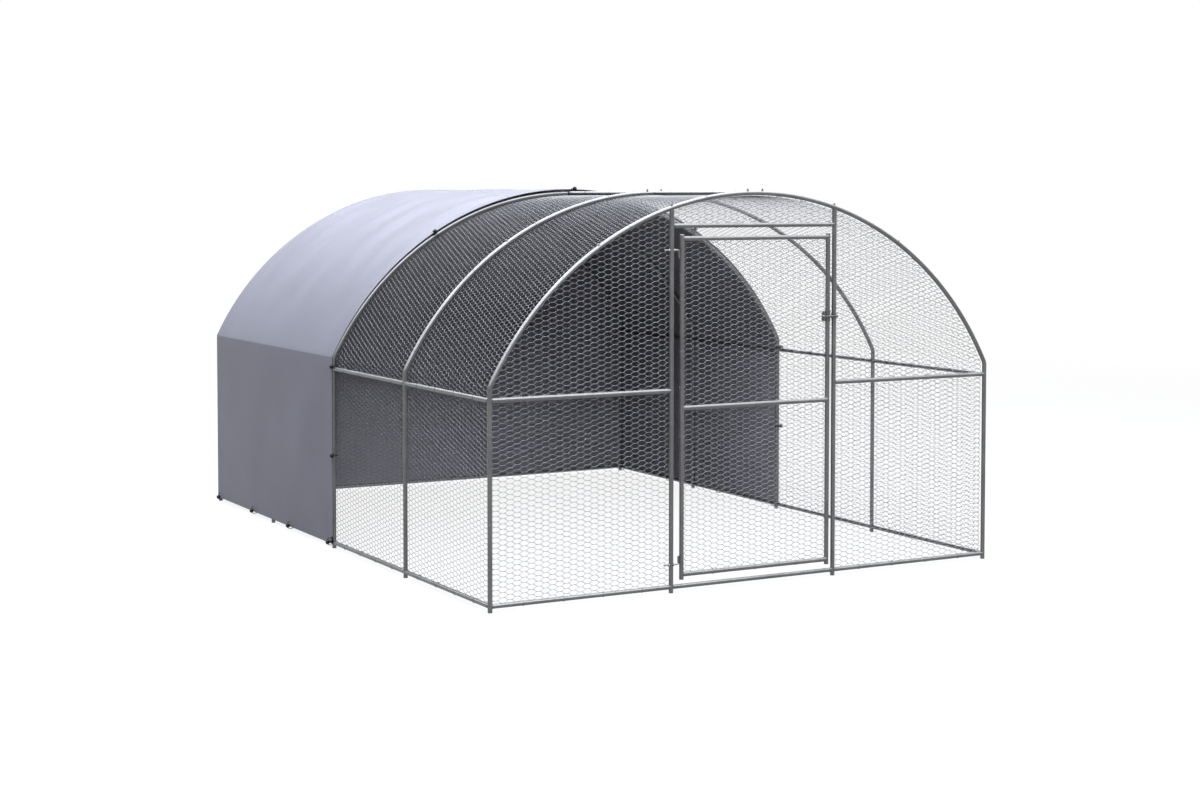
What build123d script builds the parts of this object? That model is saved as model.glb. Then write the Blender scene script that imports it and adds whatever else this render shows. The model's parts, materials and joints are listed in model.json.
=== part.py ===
from build123d import *
import math
import os

# A walk-in poultry run. Arched hoops of galvanised tube stand on ground rails and carry hexagonal
# wire netting on their inner side. The front has a hinged door with a slide bolt, and a grey cover
# is tied over the rear half.
# Millimetres. X runs across the run, Y from the door to the rear, Z up from the ground.
# The origin is the middle of the footprint at ground level.

# Overall size, between tube axes
run_width = 3000.0
run_length = 4000.0
ridge_height = 2000.0
knee_height = 1077.0
knee_radius = 50.0
bay_count = 4

# Tube, and how two tubes meet
tube_od = 23.0
tube_wall = 1.0
spigot_clearance = 0.2
spigot_reach = 40.0
neck_length = 6.0
butt_gap = 0.3
cope_clearance = 0.2
cross_half_run = 24.0
# Side of a ridge cross on which its round surface closes, clear of its arms and holes
cross_seam = (0, -0.6, -0.8)
foot_thickness = 3.0

# Hoop joints
leg_tail = 50.0
splice_angle = 31.8
screw_setback = 20.0

# Rails
rail_height = 30.0
eave_height = 1015.0

# Doorway
post_offset = 493.5
lintel_height = 1837.0
post_plug_length = 45.0
post_top_drop = 4.0

# Door leaf
hinge_stile_x = -433.0
latch_stile_x = 454.0
stile_bottom = 65.0
stile_top = 1790.0
door_bottom_rail_height = 88.0
door_mid_rail_height = 925.0
door_top_rail_height = 1773.0

# Hinges: a bent bolt through the post, its pin in a sleeve welded to the stile
hinge_pin_d = 8.0
hinge_pin_clearance = 0.05
hinge_axis_x = -450.0
hinge_sleeve_d = 12.0
hinge_sleeve_length = 30.0
hinge_bend_radius = 8.0
hinge_pin_overrun = 3.0
hinge_tail_x = -536.0
hinge_top_height = 1715.5
hinge_bottom_height = 142.0
hinge_hole_clearance = 0.2
hinge_nut_flats = 13.0
hinge_nut_height = 6.5

# Latch: a clamp on the stile guides a sliding bolt into a collar on the post
latch_height = 1361.0
latch_clamp_height = 58.0
latch_clamp_wall = 2.5
latch_clamp_clearance = 0.3
latch_ear_x = 430.0
latch_ear_radius = 12.0
latch_ear_half_thickness = 4.0
latch_ear_slit = 3.0
latch_ear_spacing = 28.0
latch_rod_d = 8.0
latch_rod_clearance = 0.2
latch_guide_d = 13.0
latch_guide_length = 28.0
latch_knob_d = 16.0
latch_knob_length = 16.0
latch_knob_x = 413.0
latch_weld_overlap = 0.5
keeper_height = 30.0
keeper_reach = 503.0
keeper_eye_length = 19.0
keeper_clearance = 0.4

# Fasteners
screw_d = 5.0
screw_hole_clearance = 0.1
screw_flats = 8.0
screw_head_height = 6.0
screw_flange_d = 12.0
screw_flange_thickness = 1.2
screw_depth = 6.0
ridge_bolt_d = 6.0
ridge_bolt_flats = 10.0
ridge_bolt_nut_height = 6.0
ridge_bolt_stand = 12.0
post_bolt_d = 6.0
post_bolt_depth = 40.0
clamp_bolt_d = 5.0
clamp_bolt_flats = 8.0
clamp_bolt_head = 3.5
clamp_nut_height = 4.0
seat_gap = 0.1

# Netting, drawn coarser than its real 25 mm mesh
mesh_pitch = 168.0
mesh_step = 255.0
mesh_twist = 145.5
mesh_bar = 3.9
net_thickness = 1.6
net_gap = 0.5
net_selvedge = 9.0
net_knee_gap = 6.0
net_strip_gap = 0.5
net_notch_margin = 1.0
smallest_gap_area = 150.0
roof_strips = 4

# Cover over the rear half
cover_length = 2000.0
cover_thickness = 1.5
cover_clearance = 0.4
cover_knee_height = 1080.0

# Ties: an elastic loop with a ball, through an eyelet in the cover and round the tube
tie_cord_d = 4.0
tie_ball_d = 20.0
tie_ball_setback = 11.0
tie_front = 27.0
tie_bend_radius = 4.5
tie_clearance = 0.5
eyelet_setback = 27.0
eyelet_bore_d = 7.0
eyelet_flange_d = 16.0
eyelet_wall = 1.0
eyelet_clearance = 0.2
tie_leg_height = 527.0
tie_arch_angle = 31.0
tie_ridge_offset = 31.0
tie_corner_offset = 35.0
ground_ties_per_side = 4

# Worked out from the sizes above
tube_r = tube_od / 2
bore_r = tube_r - tube_wall
spigot_r = bore_r - spigot_clearance
spigot_bore_r = spigot_r - tube_wall
half_width = run_width / 2
half_length = run_length / 2
front_y = -half_length
rear_y = half_length
hoop_ys = [front_y + run_length * i / bay_count for i in range(bay_count + 1)]
last_hoop = bay_count

arch_rise = ridge_height - knee_height
arch_radius = (half_width**2 + arch_rise**2) / (2 * arch_rise)
arch_centre_z = ridge_height - arch_radius
knee_centre_x = half_width - knee_radius
knee_centre_drop = math.sqrt((arch_radius - knee_radius) ** 2 - knee_centre_x**2)
knee_centre_z = arch_centre_z + knee_centre_drop
knee_end_angle = math.degrees(math.atan2(knee_centre_x, knee_centre_drop))


def arc_of(length):
    """Angle that a length takes up along the arch's axis."""
    return math.degrees(length / arch_radius)


leg_top_angle = knee_end_angle - arc_of(leg_tail)
spigot_angle = arc_of(spigot_reach)
neck_angle = arc_of(neck_length)
setback_angle = arc_of(screw_setback)
cross_angle = arc_of(cross_half_run)

cover_wall_x = half_width + tube_r + cover_clearance
cover_top = ridge_height + tube_r + ridge_bolt_stand + cover_clearance
cover_rise = cover_top - cover_knee_height
cover_radius = (cover_wall_x**2 + cover_rise**2) / (2 * cover_rise)
cover_centre_z = cover_top - cover_radius
cover_front_y = rear_y - cover_length
cover_rear_y = rear_y + tube_r + cover_clearance

net_inset = tube_r + net_gap
net_end = half_length - net_inset - net_thickness - net_gap
net_wall_x = half_width - net_inset
net_front_half = net_wall_x - net_thickness - net_gap
net_arch_radius = arch_radius - net_inset
net_knee_angle = math.degrees(math.asin(net_wall_x / net_arch_radius))
net_knee_z = arch_centre_z + net_arch_radius * math.cos(math.radians(net_knee_angle))

latch_y = front_y - tube_r - latch_clamp_clearance - latch_clamp_wall - latch_guide_d / 2 + latch_weld_overlap


def arch_point(angle, radius=arch_radius):
    """X and Z of a point at an angle from the vertical and a radius from the arch's centre."""
    turn = math.radians(angle)
    return radius * math.sin(turn), arch_centre_z + radius * math.cos(turn)


def across(y):
    """Upright plane across the run at y; its own axes are X and Z."""
    return Plane(origin=(0, y, 0), x_dir=(1, 0, 0), z_dir=(0, -1, 0))


def save(piece, name):
    """Label a finished piece and write it."""
    piece.part.label = name
    export_step(piece.part, f"parts/{name}.step")


def rod(start, end, radius, mode=Mode.ADD):
    """Round rod between two points."""
    run = Vector(end) - Vector(start)
    with BuildSketch(Plane(origin=start, z_dir=run)) as section:
        Circle(radius)
    extrude(section.sketch, amount=run.length, mode=mode)


def tube(start, end):
    """Length of the frame's tube between two points."""
    run = Vector(end) - Vector(start)
    with BuildSketch(Plane(origin=start, z_dir=run)) as section:
        Circle(tube_r)
        Circle(bore_r, mode=Mode.SUBTRACT)
    extrude(section.sketch, amount=run.length)


def sweep_round(axis, radius, mode=Mode.ADD, seam=None):
    """Sweep a round section along a line that is already drawn."""
    with BuildSketch(Plane(origin=axis @ 0, x_dir=seam, z_dir=axis % 0)) as section:
        Circle(radius)
    sweep(sections=section.sketch, path=axis, mode=mode)


def arch_rod(y, low, high, radius, mode=Mode.ADD, seam=None):
    """Rod along the arch of the hoop at y, between two angles from the vertical."""
    with BuildLine(across(y)) as axis:
        CenterArc((0, arch_centre_z), arch_radius, 90 - low, low - high)
    sweep_round(axis.line, radius, mode, seam)


def radial_rod(y, angle, inner, outer, radius, mode=Mode.ADD):
    """Rod square to the arch, from one distance off the arch's axis to another."""
    x_in, z_in = arch_point(angle, arch_radius + inner)
    x_out, z_out = arch_point(angle, arch_radius + outer)
    rod((x_in, y, z_in), (x_out, y, z_out), radius, mode)


def screw_hole(y, angle, diameter):
    """Hole for a fastener through the outer side of a hoop tube."""
    radial_rod(y, angle, 0, tube_od, diameter / 2 + screw_hole_clearance, Mode.SUBTRACT)


def leg_rod(y, foot, radius, mode=Mode.ADD):
    """Rod along the right leg: up from the foot, round the knee and on along the arch."""
    with BuildLine(across(y)) as axis:
        Line((half_width, foot), (half_width, knee_centre_z))
        CenterArc((knee_centre_x, knee_centre_z), knee_radius, 0, 90 - knee_end_angle)
        CenterArc((0, arch_centre_z), arch_radius, 90 - knee_end_angle, knee_end_angle - leg_top_angle)
    sweep_round(axis.line, radius, mode)


def stub(centre, direction):
    """Hollow stub that a rail slides over, from a post's axis outwards."""
    start = Vector(centre)
    end = start + Vector(direction) * (tube_r + spigot_reach)
    rod(start, end, spigot_r)
    rod(start, end, spigot_bore_r, Mode.SUBTRACT)


def hex_fastener(seat, flats, head, shank_r, depth, stand):
    """Flanged hexagon on a seat plane, with a shank below it and a shank end standing proud."""
    with BuildSketch(seat) as flange:
        Circle(screw_flange_d / 2)
    extrude(flange.sketch, amount=screw_flange_thickness)
    with BuildSketch(seat) as hexagon:
        RegularPolygon(flats / 2, 6, major_radius=False)
    extrude(hexagon.sketch, amount=head)
    with BuildSketch(seat) as shank:
        Circle(shank_r)
    extrude(shank.sketch, amount=stand)
    extrude(shank.sketch, amount=-depth)


def arch_seat(y, angle):
    """Seat plane on the outer side of a hoop tube."""
    x, z = arch_point(angle, arch_radius + tube_r + seat_gap)
    turn = math.radians(angle)
    return Plane(origin=(x, y, z), x_dir=(0, 1, 0), z_dir=(math.sin(turn), 0, math.cos(turn)))


os.makedirs("parts", exist_ok=True)

# Hoops: a pair of legs, a pair of side arcs and a pair of crowns each
for index, y in enumerate(hoop_ys):
    is_end = index in (0, last_hoop)
    foot = 0.0 if is_end else rail_height
    along_run = [step for step, there in ((1, index < last_hoop), (-1, index > 0)) if there]

    with BuildPart() as legs:
        leg_rod(y, foot, tube_r)
        for step in along_run:
            stub((half_width, y, eave_height), (0, step, 0))
            if is_end:
                stub((half_width, y, rail_height), (0, step, 0))
        if is_end:
            stub((half_width, y, rail_height), (-1, 0, 0))
        if index == 0:
            stub((half_width, y, eave_height), (-1, 0, 0))
        leg_rod(y, foot + (foot_thickness if is_end else 0), bore_r, Mode.SUBTRACT)
        if not is_end:
            rod(
                (half_width, y - tube_od, rail_height),
                (half_width, y + tube_od, rail_height),
                tube_r + cope_clearance,
                Mode.SUBTRACT,
            )
        mirror(about=Plane.YZ)
    save(legs, f"hoop_{index + 1}_legs")

    with BuildPart() as side_arcs:
        arch_rod(y, leg_top_angle, splice_angle, tube_r)
        arch_rod(y, leg_top_angle + spigot_angle, leg_top_angle, spigot_r)
        arch_rod(y, leg_top_angle - neck_angle, splice_angle, bore_r, Mode.SUBTRACT)
        arch_rod(
            y, leg_top_angle + spigot_angle, leg_top_angle - neck_angle, spigot_bore_r, Mode.SUBTRACT
        )
        screw_hole(y, splice_angle + setback_angle, screw_d)
        mirror(about=Plane.YZ)
    save(side_arcs, f"hoop_{index + 1}_side_arcs")

    with BuildPart() as crowns:
        arch_rod(y, splice_angle, cross_angle, tube_r)
        arch_rod(y, splice_angle + spigot_angle, splice_angle, spigot_r)
        arch_rod(y, splice_angle - neck_angle, cross_angle, bore_r, Mode.SUBTRACT)
        arch_rod(
            y, splice_angle + spigot_angle, splice_angle - neck_angle, spigot_bore_r, Mode.SUBTRACT
        )
        screw_hole(y, splice_angle + setback_angle, screw_d)
        screw_hole(y, cross_angle + setback_angle, ridge_bolt_d)
        if index == 0:
            rod(
                (post_offset, y, eave_height),
                (post_offset, y, ridge_height),
                post_bolt_d / 2 + screw_hole_clearance,
                Mode.SUBTRACT,
            )
        mirror(about=Plane.YZ)
    save(crowns, f"hoop_{index + 1}_crowns")

# Ridge: a cross at every hoop and a rail in every bay
with BuildPart() as ridge_crosses:
    for index, y in enumerate(hoop_ys):
        along_run = [step for step, there in ((1, index < last_hoop), (-1, index > 0)) if there]
        run_tip = cross_angle + spigot_angle
        arch_rod(y, cross_angle, -cross_angle, tube_r, seam=cross_seam)
        arch_rod(y, run_tip, -run_tip, spigot_r, seam=cross_seam)
        for step in along_run:
            rod((0, y, ridge_height), (0, y + step * cross_half_run, ridge_height), tube_r)
            arm_end = (0, y + step * (cross_half_run + spigot_reach), ridge_height)
            rod((0, y, ridge_height), arm_end, spigot_r)
        arch_rod(y, run_tip, -run_tip, spigot_bore_r, Mode.SUBTRACT, cross_seam)
        for step in along_run:
            arm_end = (0, y + step * (cross_half_run + spigot_reach), ridge_height)
            rod((0, y, ridge_height), arm_end, spigot_bore_r, Mode.SUBTRACT)
        for side in (1, -1):
            screw_hole(y, side * (cross_angle + setback_angle), ridge_bolt_d)
save(ridge_crosses, "ridge_crosses")

with BuildPart() as ridge_rails:
    for start_y, end_y in zip(hoop_ys, hoop_ys[1:]):
        tube(
            (0, start_y + cross_half_run + butt_gap, ridge_height),
            (0, end_y - cross_half_run - butt_gap, ridge_height),
        )
save(ridge_rails, "ridge_rails")

# Side rails at the eaves
with BuildPart() as eave_rails:
    for start_y, end_y in zip(hoop_ys, hoop_ys[1:]):
        tube(
            (half_width, start_y + tube_r + butt_gap, eave_height),
            (half_width, end_y - tube_r - butt_gap, eave_height),
        )
    mirror(about=Plane.YZ)
save(eave_rails, "eave_rails")

# Ground crosses: a run for the rails, a spigot for the upright and a foot
side_cross_places = [(side * half_width, y, (0, 1, 0)) for side in (1, -1) for y in hoop_ys[1:-1]]
post_cross_places = [(side * post_offset, front_y, (1, 0, 0)) for side in (1, -1)]
with BuildPart() as ground_crosses:
    for x, y, run_direction in side_cross_places + post_cross_places:
        centre = Vector(x, y, rail_height)
        run = Vector(run_direction)
        run_half = run * cross_half_run
        run_tip = run * (cross_half_run + spigot_reach)
        spigot_top = centre + Vector(0, 0, tube_r + spigot_reach)
        rod(centre - run_half, centre + run_half, tube_r)
        rod(centre - run_tip, centre + run_tip, spigot_r)
        rod((x, y, 0), centre, tube_r)
        rod(centre, spigot_top, spigot_r)
        rod(centre - run_tip, centre + run_tip, spigot_bore_r, Mode.SUBTRACT)
        rod((x, y, foot_thickness), spigot_top, spigot_bore_r, Mode.SUBTRACT)
save(ground_crosses, "ground_crosses")

# Ground rails
corner_end = tube_r + butt_gap
cross_end = cross_half_run + butt_gap
with BuildPart() as ground_rails_side:
    for index, (start_y, end_y) in enumerate(zip(hoop_ys, hoop_ys[1:])):
        start_gap = corner_end if index == 0 else cross_end
        end_gap = corner_end if index + 1 == last_hoop else cross_end
        tube(
            (half_width, start_y + start_gap, rail_height),
            (half_width, end_y - end_gap, rail_height),
        )
    mirror(about=Plane.YZ)
save(ground_rails_side, "ground_rails_side")

with BuildPart() as ground_rails_front:
    tube(
        (half_width - corner_end, front_y, rail_height),
        (post_offset + cross_end, front_y, rail_height),
    )
    mirror(about=Plane.YZ)
    tube(
        (-post_offset + cross_end, front_y, rail_height),
        (post_offset - cross_end, front_y, rail_height),
    )
save(ground_rails_front, "ground_rails_front")

with BuildPart() as ground_rail_rear:
    tube(
        (-half_width + corner_end, rear_y, rail_height),
        (half_width - corner_end, rear_y, rail_height),
    )
save(ground_rail_rear, "ground_rail_rear")

# Door posts, lintel and the mid rails beside the door
post_axis_top = arch_centre_z + math.sqrt(arch_radius**2 - post_offset**2)
post_top = post_axis_top - post_top_drop
for name, side in (("door_post_left", -1), ("door_post_right", 1)):
    post_x = side * post_offset
    with BuildPart() as door_post:
        rod((post_x, front_y, rail_height), (post_x, front_y, post_top), tube_r)
        stub((post_x, front_y, eave_height), (side, 0, 0))
        stub((post_x, front_y, lintel_height), (-side, 0, 0))
        rod(
            (post_x, front_y, rail_height),
            (post_x, front_y, post_axis_top - tube_r - post_plug_length),
            bore_r,
            Mode.SUBTRACT,
        )
        rod(
            (post_x, front_y, post_axis_top - tube_r - post_plug_length),
            (post_x, front_y, post_axis_top),
            post_bolt_d / 2 + screw_hole_clearance,
            Mode.SUBTRACT,
        )
        rod(
            (post_x - tube_od, front_y, rail_height),
            (post_x + tube_od, front_y, rail_height),
            tube_r + cope_clearance,
            Mode.SUBTRACT,
        )
        arch_rod(
            front_y, side * splice_angle, side * cross_angle, tube_r + cope_clearance, Mode.SUBTRACT
        )
        if side < 0:
            for height in (hinge_bottom_height, hinge_top_height):
                rod(
                    (post_x - tube_od, front_y, height),
                    (post_x + tube_od, front_y, height),
                    hinge_pin_d / 2 + hinge_hole_clearance,
                    Mode.SUBTRACT,
                )
    save(door_post, name)

    with BuildPart() as front_mid_rail:
        tube(
            (side * (half_width - corner_end), front_y, eave_height),
            (side * (post_offset + corner_end), front_y, eave_height),
        )
    save(front_mid_rail, "front_mid_rail_" + name.removeprefix("door_post_"))

with BuildPart() as door_lintel:
    tube(
        (-post_offset + corner_end, front_y, lintel_height),
        (post_offset - corner_end, front_y, lintel_height),
    )
save(door_lintel, "door_lintel")

# Fasteners of the frame
with BuildPart() as splice_screws:
    for y in hoop_ys:
        for side in (1, -1):
            seat = arch_seat(y, side * (splice_angle + setback_angle))
            hex_fastener(
                seat, screw_flats, screw_head_height, screw_d / 2, screw_depth, screw_flange_thickness
            )
save(splice_screws, "splice_screws")

with BuildPart() as ridge_bolts:
    for y in hoop_ys:
        for side in (1, -1):
            seat = arch_seat(y, side * (cross_angle + setback_angle))
            hex_fastener(
                seat,
                ridge_bolt_flats,
                ridge_bolt_nut_height,
                ridge_bolt_d / 2,
                screw_depth,
                ridge_bolt_stand - seat_gap,
            )
save(ridge_bolts, "ridge_bolts")

post_slope = post_offset / (post_axis_top - arch_centre_z)
post_arch_top = arch_centre_z + math.sqrt((arch_radius + tube_r) ** 2 - post_offset**2)
post_seat_z = post_arch_top + post_slope * screw_flange_d / 2 + seat_gap
with BuildPart() as post_bolts:
    for side in (1, -1):
        hex_fastener(
            Plane(origin=(side * post_offset, front_y, post_seat_z)),
            ridge_bolt_flats,
            ridge_bolt_nut_height,
            post_bolt_d / 2,
            post_bolt_depth,
            screw_flange_thickness,
        )
save(post_bolts, "post_bolts")

# Hinges: the upper pin points down and the lower one up, so the leaf can't lift off
hinge_places = (
    ("hinge_bolt_top", hinge_top_height, -1),
    ("hinge_bolt_bottom", hinge_bottom_height, 1),
)
hinge_pin_length = hinge_bend_radius + butt_gap + hinge_sleeve_length + hinge_pin_overrun
for name, height, way in hinge_places:
    with BuildPart() as hinge_bolt:
        with BuildLine(across(front_y)) as hinge_axis:
            FilletPolyline(
                (hinge_tail_x, height),
                (hinge_axis_x, height),
                (hinge_axis_x, height + way * hinge_pin_length),
                radius=hinge_bend_radius,
            )
        with BuildSketch(Plane(origin=hinge_axis.line @ 0, z_dir=hinge_axis.line % 0)):
            Circle(hinge_pin_d / 2)
        sweep()
    save(hinge_bolt, name)

with BuildPart() as hinge_nuts:
    for name, height, way in hinge_places:
        for side in (1, -1):
            nut_x = -post_offset + side * (tube_r + seat_gap)
            seat = Plane(origin=(nut_x, front_y, height), x_dir=(0, 1, 0), z_dir=(side, 0, 0))
            with BuildSketch(seat) as nut:
                RegularPolygon(hinge_nut_flats / 2, 6, major_radius=False)
                Circle(hinge_pin_d / 2 + hinge_pin_clearance, mode=Mode.SUBTRACT)
            extrude(nut.sketch, amount=hinge_nut_height)
save(hinge_nuts, "hinge_nuts")

# Door leaf: two stiles and three rails
with BuildPart() as door_hinge_stile:
    rod((hinge_stile_x, front_y, stile_bottom), (hinge_stile_x, front_y, stile_top), tube_r)
    for name, height, way in hinge_places:
        sleeve_near = height + way * (hinge_bend_radius + butt_gap)
        sleeve_far = sleeve_near + way * hinge_sleeve_length
        rod(
            (hinge_axis_x, front_y, sleeve_near),
            (hinge_axis_x, front_y, sleeve_far),
            hinge_sleeve_d / 2,
        )
        rod(
            (hinge_axis_x, front_y, sleeve_near),
            (hinge_axis_x, front_y, sleeve_far),
            hinge_pin_d / 2 + hinge_pin_clearance,
            Mode.SUBTRACT,
        )
    rod((hinge_stile_x, front_y, stile_bottom), (hinge_stile_x, front_y, stile_top), bore_r, Mode.SUBTRACT)
save(door_hinge_stile, "door_hinge_stile")

with BuildPart() as door_latch_stile:
    tube((latch_stile_x, front_y, stile_bottom), (latch_stile_x, front_y, stile_top))
save(door_latch_stile, "door_latch_stile")

door_rails = (
    ("door_top_rail", door_top_rail_height),
    ("door_mid_rail", door_mid_rail_height),
    ("door_bottom_rail", door_bottom_rail_height),
)
for name, height in door_rails:
    with BuildPart() as door_rail:
        tube((hinge_stile_x, front_y, height), (latch_stile_x, front_y, height))
        for stile_x in (hinge_stile_x, latch_stile_x):
            rod(
                (stile_x, front_y, height - tube_od),
                (stile_x, front_y, height + tube_od),
                tube_r + cope_clearance,
                Mode.SUBTRACT,
            )
    save(door_rail, name)

# Latch
clamp_r = tube_r + latch_clamp_clearance
clamp_outer_r = clamp_r + latch_clamp_wall
clamp_bottom = latch_height - latch_clamp_height / 2
clamp_top = latch_height + latch_clamp_height / 2
guide_start = latch_stile_x - latch_guide_length / 2
guide_end = latch_stile_x + latch_guide_length / 2
ear_heights = (latch_height - latch_ear_spacing / 2, latch_height + latch_ear_spacing / 2)
with BuildPart() as latch_clamp:
    rod((latch_stile_x, front_y, clamp_bottom), (latch_stile_x, front_y, clamp_top), clamp_outer_r)
    for ear_z in ear_heights:
        rod(
            (latch_ear_x, front_y - latch_ear_half_thickness, ear_z),
            (latch_ear_x, front_y + latch_ear_half_thickness, ear_z),
            latch_ear_radius,
        )
    with BuildSketch(across(front_y)) as ear_web:
        with Locations(((latch_ear_x + latch_stile_x) / 2, latch_height)):
            Rectangle(latch_stile_x - latch_ear_x, latch_ear_spacing + 2 * latch_ear_radius)
    extrude(ear_web.sketch, amount=latch_ear_half_thickness, both=True)
    rod((guide_start, latch_y, latch_height), (guide_end, latch_y, latch_height), latch_guide_d / 2)
    rod((latch_stile_x, front_y, clamp_bottom), (latch_stile_x, front_y, clamp_top), clamp_r, Mode.SUBTRACT)
    with BuildSketch(across(front_y)) as ear_slit:
        with Locations((latch_ear_x, latch_height)):
            Rectangle(2 * (latch_stile_x - latch_ear_x), 2 * latch_clamp_height)
    extrude(ear_slit.sketch, amount=latch_ear_slit / 2, both=True, mode=Mode.SUBTRACT)
    for ear_z in ear_heights:
        rod(
            (latch_ear_x, front_y - tube_od, ear_z),
            (latch_ear_x, front_y + tube_od, ear_z),
            clamp_bolt_d / 2 + screw_hole_clearance,
            Mode.SUBTRACT,
        )
    rod(
        (guide_start, latch_y, latch_height),
        (guide_end, latch_y, latch_height),
        latch_rod_d / 2 + latch_rod_clearance,
        Mode.SUBTRACT,
    )
save(latch_clamp, "latch_clamp")

ear_face = latch_ear_half_thickness + seat_gap
with BuildPart() as latch_clamp_bolts:
    for ear_z in ear_heights:
        head_seat = Plane(origin=(latch_ear_x, front_y - ear_face, ear_z), x_dir=(1, 0, 0), z_dir=(0, -1, 0))
        with BuildSketch(head_seat) as bolt_head:
            RegularPolygon(clamp_bolt_flats / 2, 6, major_radius=False)
        extrude(bolt_head.sketch, amount=clamp_bolt_head)
        rod(
            (latch_ear_x, front_y - ear_face, ear_z),
            (latch_ear_x, front_y + ear_face + clamp_nut_height, ear_z),
            clamp_bolt_d / 2,
        )
        nut_seat = Plane(origin=(latch_ear_x, front_y + ear_face, ear_z), x_dir=(1, 0, 0), z_dir=(0, 1, 0))
        with BuildSketch(nut_seat) as nut:
            RegularPolygon(clamp_bolt_flats / 2, 6, major_radius=False)
        extrude(nut.sketch, amount=clamp_nut_height)
save(latch_clamp_bolts, "latch_clamp_bolts")

with BuildPart() as latch_bolt:
    rod((latch_knob_x, latch_y, latch_height), (keeper_reach, latch_y, latch_height), latch_rod_d / 2)
    rod(
        (latch_knob_x - latch_knob_length / 2, latch_y, latch_height),
        (latch_knob_x + latch_knob_length / 2, latch_y, latch_height),
        latch_knob_d / 2,
    )
    knob_rims = latch_bolt.edges().filter_by(GeomType.CIRCLE).filter_by(
        lambda edge: abs(edge.radius - latch_knob_d / 2) < net_gap
    )
    fillet(knob_rims, radius=latch_knob_d / 5)
save(latch_bolt, "latch_bolt")

keeper_bottom = latch_height - keeper_height / 2
keeper_top = latch_height + keeper_height / 2
with BuildPart() as latch_keeper:
    rod((post_offset, front_y, keeper_bottom), (post_offset, front_y, keeper_top), clamp_outer_r)
    rod(
        (keeper_reach - keeper_eye_length, latch_y, latch_height),
        (keeper_reach, latch_y, latch_height),
        latch_guide_d / 2,
    )
    rod((post_offset, front_y, keeper_bottom), (post_offset, front_y, keeper_top), clamp_r, Mode.SUBTRACT)
    rod(
        (keeper_reach - keeper_eye_length, latch_y, latch_height),
        (keeper_reach, latch_y, latch_height),
        latch_rod_d / 2 + keeper_clearance,
        Mode.SUBTRACT,
    )
save(latch_keeper, "latch_keeper")


# Cover ties: each has a plane across its tube with x into the cover and y outwards
def cover_offset(angle):
    """Distance from the arch's axis to the cover's inner face, square to the arch."""
    lift = cover_centre_z - arch_centre_z
    turn = math.radians(angle)
    reach = lift * math.cos(turn) + math.sqrt(cover_radius**2 - (lift * math.sin(turn)) ** 2)
    return reach - arch_radius


def leg_tie(side, height):
    """Tie round a leg at the cover's front edge."""
    frame = Plane(origin=(side * half_width, cover_front_y, height), x_dir=(0, 1, 0), z_dir=(0, 0, -side))
    return frame, tube_r + cover_clearance


def arch_tie(angle):
    """Tie round the arch at the cover's front edge."""
    x, z = arch_point(angle)
    turn = math.radians(angle)
    frame = Plane(origin=(x, cover_front_y, z), x_dir=(0, 1, 0), z_dir=(math.cos(turn), 0, -math.sin(turn)))
    return frame, cover_offset(angle)


def ground_tie(side, y):
    """Tie round a ground rail at the cover's lower edge."""
    frame = Plane(origin=(side * half_width, y, rail_height), x_dir=(0, 0, 1), z_dir=(0, side, 0))
    return frame, tube_r + cover_clearance


tie_cord_r = tie_cord_d / 2
tie_ball_r = tie_ball_d / 2
eave_tie_height = eave_height + tube_r + tie_cord_r + tie_clearance
ground_tie_step = (cover_length - 2 * tie_corner_offset) / (ground_ties_per_side - 1)
ground_tie_ys = [
    cover_front_y + tie_corner_offset + ground_tie_step * i for i in range(ground_ties_per_side)
]
leg_ties = [leg_tie(side, height) for side in (1, -1) for height in (tie_leg_height, eave_tie_height)]
arch_ties = [arch_tie(angle) for angle in (-tie_arch_angle, arc_of(tie_ridge_offset), tie_arch_angle)]
ground_ties = [ground_tie(side, y) for side in (1, -1) for y in ground_tie_ys]
ties = leg_ties + arch_ties + ground_ties
tie_inner = net_inset + net_thickness + tie_clearance + tie_cord_r
ball_clear = math.sqrt((tube_r + tie_ball_r + tie_clearance) ** 2 - tie_ball_setback**2)


def tie_outer(sheet):
    """Distance of a tie's outer run from its tube's axis, over a cover at the given distance."""
    return max(ball_clear, sheet + cover_thickness + tie_clearance + tie_cord_r + eyelet_wall)


def at(frame, along, out):
    """Point in a tie's plane."""
    return frame.from_local_coords((along, out, 0))


with BuildPart() as tie_cords:
    for frame, sheet in ties:
        with BuildLine(frame) as loop:
            FilletPolyline(
                (0, -tie_inner),
                (eyelet_setback, -tie_inner),
                (eyelet_setback, tie_outer(sheet)),
                (-tie_front, tie_outer(sheet)),
                (-tie_front, -tie_inner),
                (0, -tie_inner),
                radius=[0, tie_bend_radius, tie_bend_radius, tie_bend_radius, tie_bend_radius],
            )
        sweep_round(loop.line, tie_cord_r)
save(tie_cords, "tie_cords")

with BuildPart() as tie_balls:
    for frame, sheet in ties:
        out = tie_outer(sheet)
        with Locations(at(frame, -tie_ball_setback, out)):
            Sphere(tie_ball_r)
        rod(
            at(frame, -tie_ball_setback - tie_ball_d, out),
            at(frame, -tie_ball_setback + tie_ball_d, out),
            tie_cord_r + eyelet_clearance,
            Mode.SUBTRACT,
        )
save(tie_balls, "tie_balls")

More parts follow.
